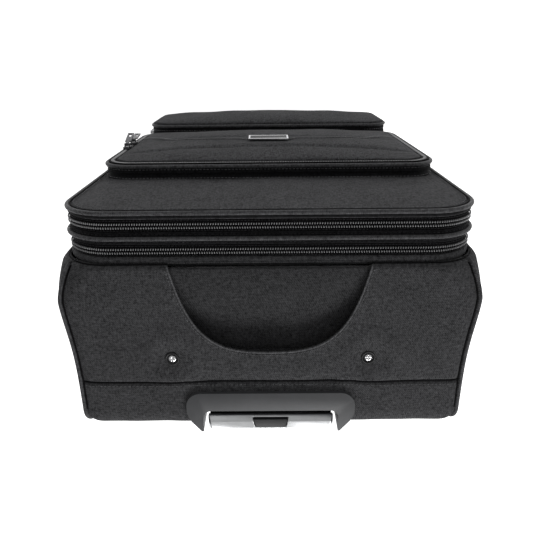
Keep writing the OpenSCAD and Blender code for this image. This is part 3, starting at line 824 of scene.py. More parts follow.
class CASE_OT_top_panel(bpy.types.Operator):
    """Cuts the top panel with its grab opening and sews its edge"""

    bl_idname = "flight_case.top_panel"
    bl_label = "Top panel"

    def execute(self, context):
        count = 180
        cut = cut_outline(count)
        edge = outer_outline(len(cut))
        rows = []
        for drop, outwards in ((0.0042, 0.0030), (0.0036, 0.0006), (0.0018, -0.0002)):
            rows.append([self.cut_point(cut, index, outwards, -drop) for index in range(len(cut))])
        steps = 30
        for step in range(steps + 1):
            share = (step / steps) ** 1.35
            row = []
            for (x, depth), (edge_share, edge_depth) in zip(cut, edge):
                at_depth = depth + (edge_depth - depth) * share
                edge_x = edge_share * top_reach(edge_depth if abs(edge_share) < 1.0 else at_depth)
                point = top_surface(x + (edge_x - x) * share, at_depth)
                lip = 0.0009 * math.exp(-share * steps / 2.0)
                row.append(point + Vector((0.0, 0.0, lip)))
            rows.append(row)
        points = [point for row in rows for point in row]
        panel = mesh_object("top_panel_fabric", points, grid_faces(len(rows), len(cut)))
        thicken(panel, 0.0012, INSIDE)
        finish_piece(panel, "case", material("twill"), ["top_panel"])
        up = Vector((0.0, 0.0, 1.0))
        fold = [self.cut_point(cut, index, 0.0002, 0.0004) for index in range(1, len(cut) - 1)]
        edge_cord = tube("grab_opening_fold", fold, 0.0007, up, sides=10)
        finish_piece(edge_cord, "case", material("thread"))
        line = [self.cut_point(cut, index, 0.0026, 0.0005) for index in range(3, len(cut) - 3)]
        stitch_line("grab_stitching", line, up, False, "case", 0.0030)
        seam = [top_surface(share * top_reach(0.0465), 0.0465) for share in np.linspace(-0.99, 0.99, 120)]
        stitch_line("back_seam_stitching", seam, up, False, "case")
        return {"FINISHED"}

    def cut_point(self, cut, index, outwards, lift):
        before = Vector(cut[max(0, index - 1)])
        after = Vector(cut[min(len(cut) - 1, index + 1)])
        along = (after - before).normalized()
        x = cut[index][0] + along.y * outwards
        depth = cut[index][1] - along.x * outwards
        depth = min(depth, BODY_DEPTH)
        return top_surface(x, depth) + Vector((0.0, 0.0, lift))


class CASE_OT_grab_pocket(bpy.types.Operator):
    """Lines the grab pocket under the opening, with its webbing bar"""

    bl_idname = "flight_case.grab_pocket"
    bl_label = "Grab pocket"

    def execute(self, context):
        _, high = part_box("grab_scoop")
        reach = high.x
        start = BACK - high.y
        rows = []
        for step in range(46):
            depth = start + (BODY_DEPTH - 0.0035 - start) * step / 45
            sink = 0.0024 + 0.0116 * smooth_step((0.156 - depth) / 0.072)
            sink *= smooth_step((depth - start) / 0.010 + 0.25)
            row = []
            for across in range(61):
                share = -1.0 + across / 30
                wall = smooth_step((1.0 - abs(share)) * 11.0)
                fold = 0.0003 + 0.0010 * smooth_step((0.150 - depth) / 0.02)
                fold *= soft_wave((share * 0.09, depth, 0.0), 0.03, 12.0)
                row.append(place(share * reach, depth, TOP - 0.0026 - (sink - 0.0026) * wall + fold * wall))
            rows.append(row)
        points = [point for row in rows for point in row]
        scoop = mesh_object("grab_pocket_cloth", points, grid_faces(len(rows), 61))
        thicken(scoop, 0.0010, INSIDE)
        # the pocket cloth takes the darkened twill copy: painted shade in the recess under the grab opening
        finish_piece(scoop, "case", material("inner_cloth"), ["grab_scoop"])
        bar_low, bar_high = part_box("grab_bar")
        depth = BACK - (bar_low.y + bar_high.y) / 2
        height = (bar_low.z + bar_high.z) / 2
        line = [place(x, depth, height + 0.0001) for x in np.linspace(bar_low.x, bar_high.x, 90)]
        half_strap = (bar_high.y - bar_low.y) / 2
        strap = tube("grab_bar_webbing", line, half_strap, Vector((0, 0, 1)), sides=20, flatten=0.16)
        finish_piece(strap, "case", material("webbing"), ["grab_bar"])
        return {"FINISHED"}


class CASE_OT_side_piping(bpy.types.Operator):
    """Runs the piping along the body's seams"""

    bl_idname = "flight_case.side_piping"
    bl_label = "Side piping"

    def corner_point(self, side, upper, depth, out):
        half_w, low, high, radius = body_section(depth)
        diagonal = math.cos(math.pi / 4) * (radius + out)
        z = high - radius + diagonal if upper else low + radius - diagonal
        return place(side * (half_w - radius + diagonal), depth, z)

    def execute(self, context):
        radius = 0.0019
        out = 0.0012
        bend = 0.016
        inward = 0.004
        front_depth = BODY_DEPTH - 0.002
        for side, label in ((1.0, "right"), (-1.0, "left")):
            upper_depths = np.linspace(front_depth, 0.018, 60)
            line = [self.corner_point(side, True, depth, out) for depth in upper_depths]
            last = line[-1]
            for step in range(1, 13):
                angle = math.pi / 2 * step / 12
                turned = 1 - math.cos(angle)
                line.append(last + Vector((-side * inward * turned, bend * math.sin(angle), -bend * turned)))
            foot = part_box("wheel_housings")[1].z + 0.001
            start = line[-1]
            line += [Vector((start.x, start.y, z)) for z in np.linspace(start.z - 0.004, foot, 110)]
            up = [Vector((side, 0.3, 0.6)).normalized()] * len(line)
            cord = tube(f"side_piping_{label}", line, radius, up, sides=12)
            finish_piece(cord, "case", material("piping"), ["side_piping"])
            # dark cords along the top panel's side seams, as painted shade in the seam valleys
            seam = []
            for depth in np.linspace(BODY_DEPTH - 0.003, 0.020, 60):
                point = top_surface(side * (top_reach(depth) - 0.0026), depth)
                seam.append(point + Vector((0.0, 0.0, 0.0002)))
            slanted = Vector((side * 0.7, 0.0, 0.7))
            line_cord = tube(f"side_seam_shade_{label}", seam, 0.0008, slanted, sides=8)
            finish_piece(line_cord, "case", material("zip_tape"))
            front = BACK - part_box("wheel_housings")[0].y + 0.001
            lower_depths = np.linspace(front_depth, front, 40)
            lower = [self.corner_point(side, False, depth, out) for depth in lower_depths]
            below = Vector((side, 0.0, -0.7)).normalized()
            cord = tube(f"base_piping_{label}", lower, radius, below, sides=12)
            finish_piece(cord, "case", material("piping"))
        return {"FINISHED"}


# ---- zips and band ----

BAND = (BAND_HALF, BAND_LOW, BAND_HIGH, FRONT_RADIUS)


def band_line(outwards, depth):
    outline, normals = rounded_outline(*BAND)
    return ring_points(outline, normals, outwards, depth)


def without_hinge(points):
    """The part of a line round the band that leaves the lid's hinge free, starting beside the hinge."""
    kept = [abs(point.x) > HINGE_HALF or point.z > BAND_LOW + 0.03 for point in points]
    count = len(points)
    start = next(index for index in range(count) if kept[index] and not kept[index - 1])
    ordered = [points[(start + step) % count] for step in range(count)]
    return [point for point in ordered if abs(point.x) > HINGE_HALF or point.z > BAND_LOW + 0.03]


class CASE_OT_zips(bpy.types.Operator):
    """Makes both zips round the case, with tapes and coil teeth"""

    bl_idname = "flight_case.zips"
    bl_label = "Zips"

    def teeth(self, name, split, side, body, closed):
        settings = zip_settings()
        reach = 0.0017
        middle = split - side * 0.0016
        line = band_line(0.0004, middle)
        if not closed:
            line = without_hinge(line)
        spaced = resample(line, settings.tooth_pitch, closed)
        outwards = rounded_normal(*BAND)
        shift = 0.0 if side > 0 else settings.tooth_pitch / 2
        along = directions(spaced, closed)
        centres = [point + line * shift for point, line in zip(spaced, along)]
        lean = 0.22 * side
        aims = [(FORWARD + line * lean).normalized() for line in along]
        ups = [outwards(point) for point in spaced]
        row = beads(name, centres, aims, ups, reach, settings.tooth_width, 0.0013)
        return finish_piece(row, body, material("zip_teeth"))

    def tape(self, name, start, end, body, replaced, closed):
        inner = -0.0022
        profile = []
        steps = 10
        for step in range(steps + 1):
            share = step / steps
            ridge = 0.00035 * math.cos(share * math.pi * 6.0)
            profile.append((-0.0006 + ridge, start + (end - start) * share))
        profile += [(inner, end), (inner, start)]
        tape = swept_ring(name, BAND, profile, 0.0004, 4.0)
        if not closed:
            mesh = tape.data
            cut = [abs(v.co.x) < HINGE_HALF and v.co.z < BAND_LOW + 0.02 for v in mesh.vertices]
            remove_points(tape, cut)
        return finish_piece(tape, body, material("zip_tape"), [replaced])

    def execute(self, context):
        gap = 0.0002
        lap = 0.001
        for zip_name, half, start, end, body, closed in (
            ("expander", "rear", BINDING_DEPTH - lap, EXPANDER_SPLIT - gap, "case", True),
            ("expander", "front", EXPANDER_SPLIT + gap, RING_DEPTH + lap, "expander", True),
            ("main", "rear", RING_FRONT - lap, MAIN_SPLIT - gap, "expander", False),
            ("main", "front", MAIN_SPLIT + gap, LID_DEPTH + lap, "lid", False),
        ):
            self.tape(f"{zip_name}_zip_tape_{half}", start, end, body, f"{zip_name}_zip_{half}", closed)
        self.teeth("expander_zip_teeth_rear", EXPANDER_SPLIT, 1, "case", True)
        self.teeth("expander_zip_teeth_front", EXPANDER_SPLIT, -1, "expander", True)
        self.teeth("main_zip_teeth_rear", MAIN_SPLIT, 1, "expander", False)
        self.teeth("main_zip_teeth_front", MAIN_SPLIT, -1, "lid", False)
        for depth, label, body in (
            (BINDING_DEPTH + 0.0012, "expander_rear", "case"),
            (RING_DEPTH - 0.0012, "expander_front", "expander"),
            (RING_FRONT + 0.0012, "main_rear", "expander"),
            (LID_DEPTH - 0.0012, "main_front", "lid"),
        ):
            line = band_line(-0.0001, depth)
            normal = rounded_normal(*BAND)
            stitch_line(f"zip_stitching_{label}", line, normal, True, body, 0.0028, "dark_thread")
        return {"FINISHED"}


def zip_settings():
    return bpy.context.scene.case_zips


def remove_points(obj, marked):
    """Takes the marked points and their faces out of a mesh."""
    work = bmesh.new()
    work.from_mesh(obj.data)
    work.verts.ensure_lookup_table()
    doomed = [vertex for vertex, mark in zip(work.verts, marked) if mark]
    bmesh.ops.delete(work, geom=doomed, context="VERTS")
    holes = [edge for edge in work.edges if edge.is_boundary]
    if holes:
        bmesh.ops.holes_fill(work, edges=holes)
    work.to_mesh(obj.data)
    work.free()
    obj.data.polygons.foreach_set("use_smooth", [True] * len(obj.data.polygons))
    obj.data.update()


class CASE_OT_band(bpy.types.Operator):
    """Sews the binding, the expanding ring, its gusset and the lid's hinge"""

    bl_idname = "flight_case.band"
    bl_label = "Expanding band"

    def execute(self, context):
        binding = [(-0.0035, BODY_DEPTH - 0.0025), (0.0002, BODY_DEPTH - 0.0022)]
        for step in range(9):
            angle = math.pi * step / 8
            forward = BODY_DEPTH - 0.0012 + (BINDING_DEPTH - BODY_DEPTH + 0.0012) * step / 8
            binding.append((0.0006 + 0.0013 * math.sin(angle), forward))
        binding += [(-0.0035, BINDING_DEPTH)]
        piece = swept_ring("front_binding_cloth", BAND, binding, 0.0006, 1.0)
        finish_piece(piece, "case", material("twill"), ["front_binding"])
        depth_range = RING_FRONT - RING_DEPTH
        ring = [(-0.0022, RING_DEPTH + 0.0002)]
        for step in range(17):
            share = step / 16
            height = 0.0010 * math.sin(math.pi * share) ** 0.5 + 0.0004 * math.cos(share * math.pi * 4)
            ring.append((height - 0.0003, RING_DEPTH + depth_range * share))
        ring.append((-0.0022, RING_FRONT - 0.0002))
        piece = swept_ring("expander_ring_cloth", BAND, ring, 0.0005, 7.0)
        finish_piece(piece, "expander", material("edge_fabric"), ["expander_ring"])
        for number, depth in enumerate((RING_DEPTH + 0.0022, RING_FRONT - 0.0022)):
            line = band_line(0.0005, depth)
            normal = rounded_normal(*BAND)
            stitch_line(f"ring_stitching_{number + 1}", line, normal, True, "expander", None, "dark_thread")
        middle = (RING_DEPTH + RING_FRONT) / 2
        cord = tube("ridge_piping_cord", band_line(0.0019, middle), 0.0019, FORWARD, closed=True)
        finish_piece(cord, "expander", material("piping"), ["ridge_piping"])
        # a dark cord along the body's front seam, as painted shade in the seam
        shape = body_section(BODY_DEPTH - 0.0003)
        outline, normals = rounded_outline(*shape)
        line = ring_points(outline, normals, 0.0004, BODY_DEPTH - 0.0002)
        cord = tube("front_seam_shade_line", line, 0.0006, FORWARD, closed=True, sides=8)
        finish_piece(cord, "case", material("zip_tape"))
        self.gusset()
        self.hinge()
        return {"FINISHED"}

    def gusset(self):
        start = BODY_DEPTH + 0.0002
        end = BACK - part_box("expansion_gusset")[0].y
        profile = []
        for step in range(25):
            profile.append((-0.0045 + 0.0002 * math.sin(step * 1.3), start + (end - start) * step / 24))
        profile += [(-0.0052, end - (end - start) * step / 24) for step in range(25)]
        sleeve = swept_ring("expansion_gusset_cloth", BAND, profile, 0.0003, 9.0)
        sleeve.data.materials.append(material("edge_fabric"))
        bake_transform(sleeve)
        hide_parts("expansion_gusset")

    def hinge(self):
        start = RING_FRONT - 0.001
        end = LID_DEPTH + 0.001
        rows = []
        for layer, height in ((0, -0.0001), (1, -0.0013)):
            for step in range(17):
                share = step / 16 if layer == 0 else 1.0 - step / 16
                depth = start + (end - start) * share
                across = np.linspace(-HINGE_HALF, HINGE_HALF, 60)
                rows.append([place(x, depth, BAND_LOW - height - 0.0001) for x in across])
        points = [point for row in rows for point in row]
        faces = grid_faces(len(rows), 60)
        last = (len(rows) - 1) * 60
        faces += [(last + step, last + step + 1, step + 1, step) for step in range(59)]
        left = tuple(row * 60 for row in range(len(rows)))
        right = tuple(row * 60 + 59 for row in reversed(range(len(rows))))
        faces += [left, right]
        strip = mesh_object("lid_hinge_tape", points, faces)
        strip.data.materials.append(material("edge_fabric"))
        rear = place(0, MAIN_SPLIT - 0.003, BAND_LOW)
        front = place(0, MAIN_SPLIT + 0.003, BAND_LOW)
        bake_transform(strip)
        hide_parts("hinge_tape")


# ---- lid and pockets ----


def crowned_rows(shape, base_depth, height, steps, inner=0.02):
    """Rings from a rounded outline towards its middle, swollen forward by height(x, z, share)."""
    outline, _ = rounded_outline(*shape)
    low, high = shape[1:3]
    centre = np.array((0.0, (low + high) / 2))
    rows = []
    for step in range(steps + 1):
        share = 1.0 - (1.0 - inner) * (step / steps)
        row = []
        for x, z in centre + (outline - centre) * share:
            row.append(place(x, base_depth + height(x, z, share), z))
        rows.append(row)
    return rows


def shell_from_rows(name, rows):
    """A surface through closed rows, its last row filled."""
    count = len(rows[0])
    points = [point for row in rows for point in row]
    faces = grid_faces(len(rows), count, wrap=True)
    faces.append(tuple(range((len(rows) - 1) * count, len(rows) * count)))
    return mesh_object(name, points, faces)


class CASE_OT_lid(bpy.types.Operator):
    """Makes the padded lid with its piped edge"""

    bl_idname = "flight_case.lid"
    bl_label = "Lid"

    def execute(self, context):
        ripple = bpy.context.scene.case_fabric.ripple

        def swell(x, z, share):
            padding = 0.0022 * smooth_step((1.0 - share) / 0.18) - 0.0016 * math.exp(-(1.0 - share) / 0.01)
            return padding + ripple * soft_wave((x, 0.0, z), 0.07, 15.0)

        outline, normals = rounded_outline(*BAND)
        rows = [ring_points(outline, normals, -0.0030, LID_DEPTH + 0.0002)]
        for step in range(7):
            depth = LID_DEPTH + (FACE_DEPTH - 0.0035 - LID_DEPTH) * step / 6
            bow = 0.0007 * math.sin(math.pi * step / 6)
            rows.append(ring_points(outline, normals, bow, depth))
        rows += crowned_rows(BAND, FACE_DEPTH, swell, 60)
        panel = shell_from_rows("lid_cloth", rows)
        thicken(panel, 0.0020, INSIDE)
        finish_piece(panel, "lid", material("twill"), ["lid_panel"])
        cord = tube("lid_piping_cord", band_line(0.0010, FACE_DEPTH - 0.0016), 0.0021, FORWARD, closed=True)
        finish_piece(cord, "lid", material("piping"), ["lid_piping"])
        # a dark cord inside the lid's piping, as painted shade in the seam between the face and the piping
        line = ring_points(outline, normals, -0.0016, FACE_DEPTH - 0.0002)
        seam = tube("lid_seam_shade_line", line, 0.0009, FORWARD, closed=True, sides=8)
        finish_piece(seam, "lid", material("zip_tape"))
        # a dark tape laid over the lid's own wall, as painted shade in the groove between the piping and the
        # zip
        wall = [(-0.0012, LID_DEPTH + 0.0006), (0.0012, LID_DEPTH + 0.0008), (0.0014, FACE_DEPTH - 0.0042)]
        wall += [(0.0010, FACE_DEPTH - 0.0034), (-0.0012, FACE_DEPTH - 0.0034)]
        edge = swept_ring("lid_edge_shade_tape", BAND, wall, 0.0003, 23.0)
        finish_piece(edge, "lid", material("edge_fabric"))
        inner = [point for point in ring_points(outline, normals, -0.0045, FACE_DEPTH + 0.0006)]
        stitch_line("lid_stitching", inner, FORWARD, True, "lid")
        return {"FINISHED"}


class CASE_OT_pockets(bpy.types.Operator):
    """Sews both front pockets with their gussets, zips and domed covers"""

    bl_idname = "flight_case.pockets"
    bl_label = "Front pockets"

    def gusset(self, name, shape, front, replaced):
        depth = front - FACE_DEPTH
        profile = [(-0.0028, FACE_DEPTH + 0.0002)]
        for step in range(5):
            angle = math.pi * step / 4
            profile.append((0.0020 * math.sin(angle) + 0.0004, FACE_DEPTH + 0.0002 + 0.0030 * step / 4))
        for step in range(1, 15):
            share = step / 14
            bow = 0.0014 * math.sin(math.pi * share) + 0.0004 * math.cos(share * math.pi * 5)
            profile.append((bow, FACE_DEPTH + 0.0034 + (depth - 0.0040) * share))
        profile.append((-0.0028, front - 0.0006))
        wall = swept_ring(name, shape, profile, 0.0009, 21.0)
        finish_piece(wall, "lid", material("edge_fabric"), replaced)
        outline, normals = rounded_outline(*shape)
        base = ring_points(outline, normals, 0.0020, FACE_DEPTH + 0.0024)
        stitch_line(f"{name}_stitching", base, rounded_normal(*shape[:4]), True, "lid")
        upper = ring_points(outline, normals, 0.0014, FACE_DEPTH + depth * 0.70)
        stitch_line(f"{name}_top_stitching", upper, rounded_normal(*shape[:4]), True, "lid")
        return wall

    def piping(self, name, shape, front, replaced):
        outline, normals = rounded_outline(*shape)
        line = ring_points(outline, normals, 0.0012, front - 0.0019)
        cord = tube(name, line, 0.0021, FORWARD, closed=True)
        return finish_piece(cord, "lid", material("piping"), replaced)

    def zip_ring(self, name, shape, depth, on_face):
        half_w, low, high, radius = shape[:4]
        middle = 0.0045
        outline, normals = rounded_outline(*shape)
        if on_face:
            profile = [(-0.0006, depth), (-0.0004, depth + 0.0012), (-0.0022, depth + 0.0016)]
            profile += [(-0.0034, depth + 0.0010), (-middle - 0.0011, depth + 0.0010)]
            profile += [(-0.0068, depth + 0.0016)]
            profile += [(-0.0092, depth + 0.0014), (-0.0092, depth)]
            line = ring_points(outline, normals, -middle, depth + 0.0010)
        else:
            profile = [(0.0002, depth - 0.0045), (0.0013, depth - 0.0038), (0.0014, depth - 0.0018)]
            profile += [(0.0009, depth - 0.0014), (0.0009, depth + 0.0014)]
            profile += [(0.0014, depth + 0.0018), (0.0013, depth + 0.0038), (0.0002, depth + 0.0045)]
            line = ring_points(outline, normals, 0.0009, depth)
        tape = swept_ring(f"{name}_tape", shape, profile)
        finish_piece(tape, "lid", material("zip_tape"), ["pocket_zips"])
        spaced = resample(line, zip_settings().tooth_pitch * 0.8, True)
        along = directions(spaced, True)
        outwards = rounded_normal(half_w, low, high, radius)
        if on_face:
            ups = [FORWARD] * len(spaced)
            aims = [outwards(point) for point in spaced]
        else:
            ups = [outwards(point) for point in spaced]
            aims = [FORWARD] * len(spaced)
        aims = [(aim + line * 0.2).normalized() for aim, line in zip(aims, along)]
        row = beads(f"{name}_teeth", spaced, aims, ups, 0.0034, 0.0010, 0.0009)
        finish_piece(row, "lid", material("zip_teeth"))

    def upper_height(self, x, z, share):
        rise = UPPER_CROWN - UPPER_FACE - 0.0024
        middle = (UPPER_LOW + UPPER_HIGH) / 2
        across = 1.0 - (x / (UPPER_HALF - 0.009)) ** 2
        upright = 1.0 - ((z - middle) / ((UPPER_HIGH - UPPER_LOW) / 2 - 0.009)) ** 2
        dome = rise * (max(0.0, across) ** 0.55) * (max(0.0, upright) ** 0.62)
        crease_z = UPPER_HIGH - 0.052 + 0.010 * (x / UPPER_HALF) ** 2
        from_edge = 1 - abs(x) / UPPER_HALF
        crease = -0.0022 * math.exp(-(((z - crease_z) / 0.005) ** 2)) * smooth_step(from_edge * 4)
        second_z = middle + 0.012 - 0.012 * (x / UPPER_HALF) ** 2
        crease += -0.0014 * math.exp(-(((z - second_z) / 0.006) ** 2)) * smooth_step(from_edge * 3)
        badge = plateau(x, 0.024, 0.012) * plateau(z - BADGE_Z, 0.010, 0.012)
        slack = 0.0012 * soft_wave((x, 0.0, z), 0.06, 31.0) * min(1.0, dome / 0.004) * (1.0 - badge)
        return dome + crease * (1.0 - badge) + slack - 0.0012 * badge

    def lower_height(self, x, z, share):
        rise = LOWER_CROWN - LOWER_FACE - 0.0022
        middle = (LOWER_LOW + LOWER_HIGH) / 2
        across = 1.0 - (x / LOWER_HALF) ** 2
        upright = 1.0 - ((z - middle) / ((LOWER_HIGH - LOWER_LOW) / 2)) ** 2
        dome = rise * (max(0.0, across) ** 0.5) * (max(0.0, upright) ** 0.55)
        slack = 0.0012 * soft_wave((x, 0.0, z), 0.05, 41.0) * min(1.0, dome / 0.004)
        return dome + slack

    def cover(self, name, shape, base, height, body, replaced):
        outline, normals = rounded_outline(*shape)
        rows = [ring_points(outline, normals, 0.0, base + 0.0002)]
        rows.append(ring_points(outline, normals, 0.0, base + 0.0012))
        rows += crowned_rows(shape, base + 0.0019, height, 64)
        panel = shell_from_rows(name, rows)
        thicken(panel, 0.0018, INSIDE)
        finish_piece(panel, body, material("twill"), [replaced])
        return panel

    def arch_line(self, lift):
        """The curved seam that crosses the upper cover from the pulls to the far side."""
        line = []
        for share in np.linspace(-1.0, 1.0, 150):
            x = share * (UPPER_HALF - 0.013)
            z = UPPER_LOW + 0.080 + 0.062 * (1.0 - abs(share) ** 3.2)
            depth = UPPER_FACE + 0.0019 + self.upper_height(x, z, 0.0) + lift
            line.append(place(x, depth, z))
        return line

    def execute(self, context):
        upper = (UPPER_HALF, UPPER_LOW, UPPER_HIGH, POCKET_RADIUS)
        lower = (LOWER_HALF, LOWER_LOW, LOWER_HIGH, POCKET_RADIUS)
        self.gusset("upper_pocket_gusset", upper, UPPER_FACE - 0.0001, ["pocket_gussets"])
        self.gusset("lower_pocket_gusset", lower, LOWER_FACE - 0.0001, [])
        self.piping("upper_pocket_piping", upper, UPPER_FACE + 0.0002, ["pocket_piping"])
        self.piping("lower_pocket_piping", lower, LOWER_FACE + 0.0004, [])
        self.zip_ring("upper_pocket_zip", upper, UPPER_FACE - 0.0001, True)
        self.zip_ring("lower_pocket_zip", lower, FACE_DEPTH + 0.0105, False)
        rim = 0.0093
        inner = (UPPER_HALF - rim, UPPER_LOW + rim, UPPER_HIGH - rim, 0.0187)
        for label, shape, face, height in (
            ("upper", inner, UPPER_FACE, self.upper_height),
            ("lower", lower, LOWER_FACE, self.lower_height),
        ):
            body = f"{label}_pocket_cover"
            self.cover(f"{body}_cloth", shape, face, height, body, f"{label}_cover")
        welt = tube("upper_cover_seam", self.arch_line(0.0001), 0.0013, FORWARD, sides=10, flatten=0.7)
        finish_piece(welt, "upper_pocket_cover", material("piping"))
        for number, shift in enumerate((-0.004, 0.004)):
            line = [point + Vector((0.0, -0.0002, shift)) for point in self.arch_line(0.0)]
            stitch_line(f"arch_stitching_{number + 1}", line, FORWARD, False, "upper_pocket_cover")
        return {"FINISHED"}


# ---- inside ----


class CASE_OT_lining(bpy.types.Operator):
    """Hangs the lining inside the case and lays the tie straps"""

    bl_idname = "flight_case.lining"
    bl_label = "Lining"

    def execute(self, context):
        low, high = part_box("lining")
        rear = BACK - high.y
        front = BACK - low.y
        half_w = high.x
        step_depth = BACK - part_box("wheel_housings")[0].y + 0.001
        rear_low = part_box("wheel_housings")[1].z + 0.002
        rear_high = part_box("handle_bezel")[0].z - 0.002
        sections = []
        for step in range(15):
            sections.append((rear + (step_depth - rear) * step / 14, rear_low, rear_high, 0.010))
        sections.append((step_depth + 0.0006, low.z, high.z, 0.012))
        start = step_depth + 0.0006
        for step in range(1, 30):
            depth = start + (front - start) * step / 29
            opening = max(0.0, (depth - TAPER_DEPTH) / (front - TAPER_DEPTH))
            sections.append((depth, low.z, high.z, 0.012 + 0.026 * opening))
        rows = []
        first = (half_w, rear_low, rear_high, 0.010)

        def slack_back(x, z, share):
            return 0.001 * soft_wave((x, 0, z), 0.05, 50.0)

        rows += reversed(crowned_rows(first, rear, slack_back, 30))
        for depth, floor, ceiling, radius in sections:
            outline, normals = rounded_outline(half_w, floor, ceiling, radius)
            row = []
            for (x, z), (nx, nz) in zip(outline, normals):
                slack = -0.0012 + 0.0012 * soft_wave((x, depth, z), 0.03, 52.0)
                row.append(place(x + nx * slack, depth, z + nz * slack))
            rows.append(row)
        points = [point for row in rows for point in row]
        count = len(rows[0])
        faces = grid_faces(len(rows), count, wrap=True)
        faces.append(tuple(reversed(range(count))))
        cloth = mesh_object("lining_cloth_bag", points, faces)
        thicken(cloth, 0.0006, INSIDE)
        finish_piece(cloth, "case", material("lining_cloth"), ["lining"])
        self.straps()
        return {"FINISHED"}

    def straps(self):
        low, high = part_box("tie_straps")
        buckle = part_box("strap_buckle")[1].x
        middle_z = (low.z + high.z) / 2
        for side, label in ((1.0, "right"), (-1.0, "left")):
            line = []
            for share in np.linspace(0.0, 1.0, 60):
                x = side * (buckle - 0.002 + (high.x - buckle + 0.002) * share)
                sag = 0.0010 * math.sin(math.pi * share)
                line.append(Vector((x, (low.y + high.y) / 2 - sag, middle_z)))
            half_strap = (high.z - low.z) / 2
            strap = tube(f"tie_strap_{label}", line, half_strap, FORWARD, sides=20, flatten=0.06)
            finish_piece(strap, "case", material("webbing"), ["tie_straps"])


# ---- hard parts ----


class CASE_OT_screws(bpy.types.Operator):
    """Turns the grab handle's screws and their cup washers"""

    bl_idname = "flight_case.screws"
    bl_label = "Grab screws"

    def lathe(self, name, centre, profile, count=40):
        points = []
        for radius, height in profile:
            for step in range(count):
                angle = 2.0 * math.pi * step / count
                points.append(centre + Vector((radius * math.cos(angle), radius * math.sin(angle), height)))
        faces = grid_faces(len(profile), count, wrap=True)
        faces.append(tuple(reversed(range(count))))
        faces.append(tuple(range((len(profile) - 1) * count, len(profile) * count)))
        return mesh_object(name, points, faces)

    def execute(self, context):
        for side, label in ((1.0, "right"), (-1.0, "left")):
            top = TOP + top_height(side * SCREW_X, SCREW_DEPTH) + 0.0009
            centre = place(side * SCREW_X, SCREW_DEPTH, top)
            cup = [(0.0064, -0.001), (0.0064, 0.0003), (0.0061, 0.0009), (0.0056, 0.0011), (0.0051, 0.0007)]
            cup += [(0.0047, -0.0003), (0.0041, -0.0012)]
            washer = self.lathe(f"cup_washer_{label}", centre, cup)
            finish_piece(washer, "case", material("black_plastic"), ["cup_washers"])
            head = [(0.0020, -0.006), (0.0020, -0.0011), (0.0033, -0.0010), (0.0034, 0.0002)]
            for step in range(1, 8):
                angle = math.pi / 2 * step / 8
                head.append((0.0034 * math.cos(angle), 0.0002 + 0.0012 * math.sin(angle)))
            screw = self.lathe(f"grab_screw_{label}", centre, head)
            self.cross_recess(screw, centre)
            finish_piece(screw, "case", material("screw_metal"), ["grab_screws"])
        return {"FINISHED"}

    def cross_recess(self, screw, centre):
        for vertex in screw.data.vertices:
            local = vertex.co - centre
            reach = math.hypot(local.x, local.y)
            in_cross = min(abs(local.x), abs(local.y)) < 0.0005
            if local.z > 0.0004 and reach < 0.0024 and in_cross:
                vertex.co.z -= 0.0009
        screw.data.update()


class CASE_OT_wheels(bpy.types.Operator):
    """Moulds the tyres with their tread"""

    bl_idname = "flight_case.wheels"
    bl_label = "Wheels"

    def execute(self, context):
        for label in ("left", "right"):
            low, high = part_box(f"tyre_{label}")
            centre = (low + high) / 2
            width = high.x - low.x
            radius = (high.z - low.z) / 2
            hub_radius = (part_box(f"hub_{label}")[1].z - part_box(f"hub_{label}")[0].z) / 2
            shoulder = 0.0045
            profile = [(hub_radius, -width / 2 + 0.0008)]
            for step in range(9):
                angle = math.pi / 2 * step / 8
                across = -width / 2 + shoulder - shoulder * math.cos(angle)
                profile.append((radius - shoulder + shoulder * math.sin(angle), across))
            for step in range(1, 16):
                share = step / 16
                groove = 0.0008 * sum(math.exp(-(((share - at) / 0.045) ** 2)) for at in (0.3, 0.5, 0.7))
                profile.append((radius - groove, -width / 2 + 0.0045 + (width - 0.009) * share))
            for step in range(9):
                angle = math.pi / 2 * step / 8
                across = width / 2 - shoulder + shoulder * math.sin(angle)
                profile.append((radius - shoulder + shoulder * math.cos(angle), across))
            profile.append((hub_radius, width / 2 - 0.0008))
            count = 96
            points = []
            for reach, across in profile:
                for step in range(count):
                    angle = 2.0 * math.pi * step / count
                    points.append(centre + Vector((across, reach * math.cos(angle), reach * math.sin(angle))))
            faces = grid_faces(len(profile), count, wrap=True)
            last = (len(profile) - 1) * count
            for step in range(count):
                following = (step + 1) % count
                faces.append((last + step, last + following, following, step))
            tyre = mesh_object(f"tyre_{label}_moulded", points, faces)
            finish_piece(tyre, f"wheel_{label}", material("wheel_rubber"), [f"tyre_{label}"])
        return {"FINISHED"}


class CASE_OT_hardware(bpy.types.Operator):
    """Gives the rigid frame parts their softened edges and finishes"""

    bl_idname = "flight_case.hardware"
    bl_label = "Hardware"

    edges = {
        "handle_bezel": 0.0016,
        "grip_cap": 0.0009,
        "grip_shell": 0.0008,
        "release_button": 0.0006,
        "wheel_housings": 0.0014,
        "front_feet": 0.0008,
        "strap_buckle": 0.0012,
        "tube_bracket": 0.0008,
        "badge_frame": 0.0004,
        "badge_plate": 0.0003,
        "hub_left": 0.0006,
        "hub_right": 0.0006,
    }
    small_edge = 0.0003

    def execute(self, context):
        slots = {row["node"]: row["material_slot"] for row in frame["record"]["subparts"]}
        for node, obj in frame["nodes"].items():
            if obj.hide_render:
                continue
            obj.data.materials.clear()
            obj.data.materials.append(material(slots[node]))
            weld = obj.modifiers.new("Weld", "WELD")
            weld.merge_threshold = 0.00002
            plain = obj.modifiers.new("Plain faces", "DECIMATE")
            plain.decimate_type = "DISSOLVE"
            plain.angle_limit = math.radians(1.0)
            bevel = obj.modifiers.new("Soft edges", "BEVEL")
            bevel.width = self.edges.get(node, self.small_edge)
            bevel.segments = 3
            bevel.limit_method = "ANGLE"
            bevel.angle_limit = math.radians(32)
            bevel.use_clamp_overlap = True
            bevel.harden_normals = True
            for polygon in obj.data.polygons:
                polygon.use_smooth = True
        return {"FINISHED"}


# ---- stage ----


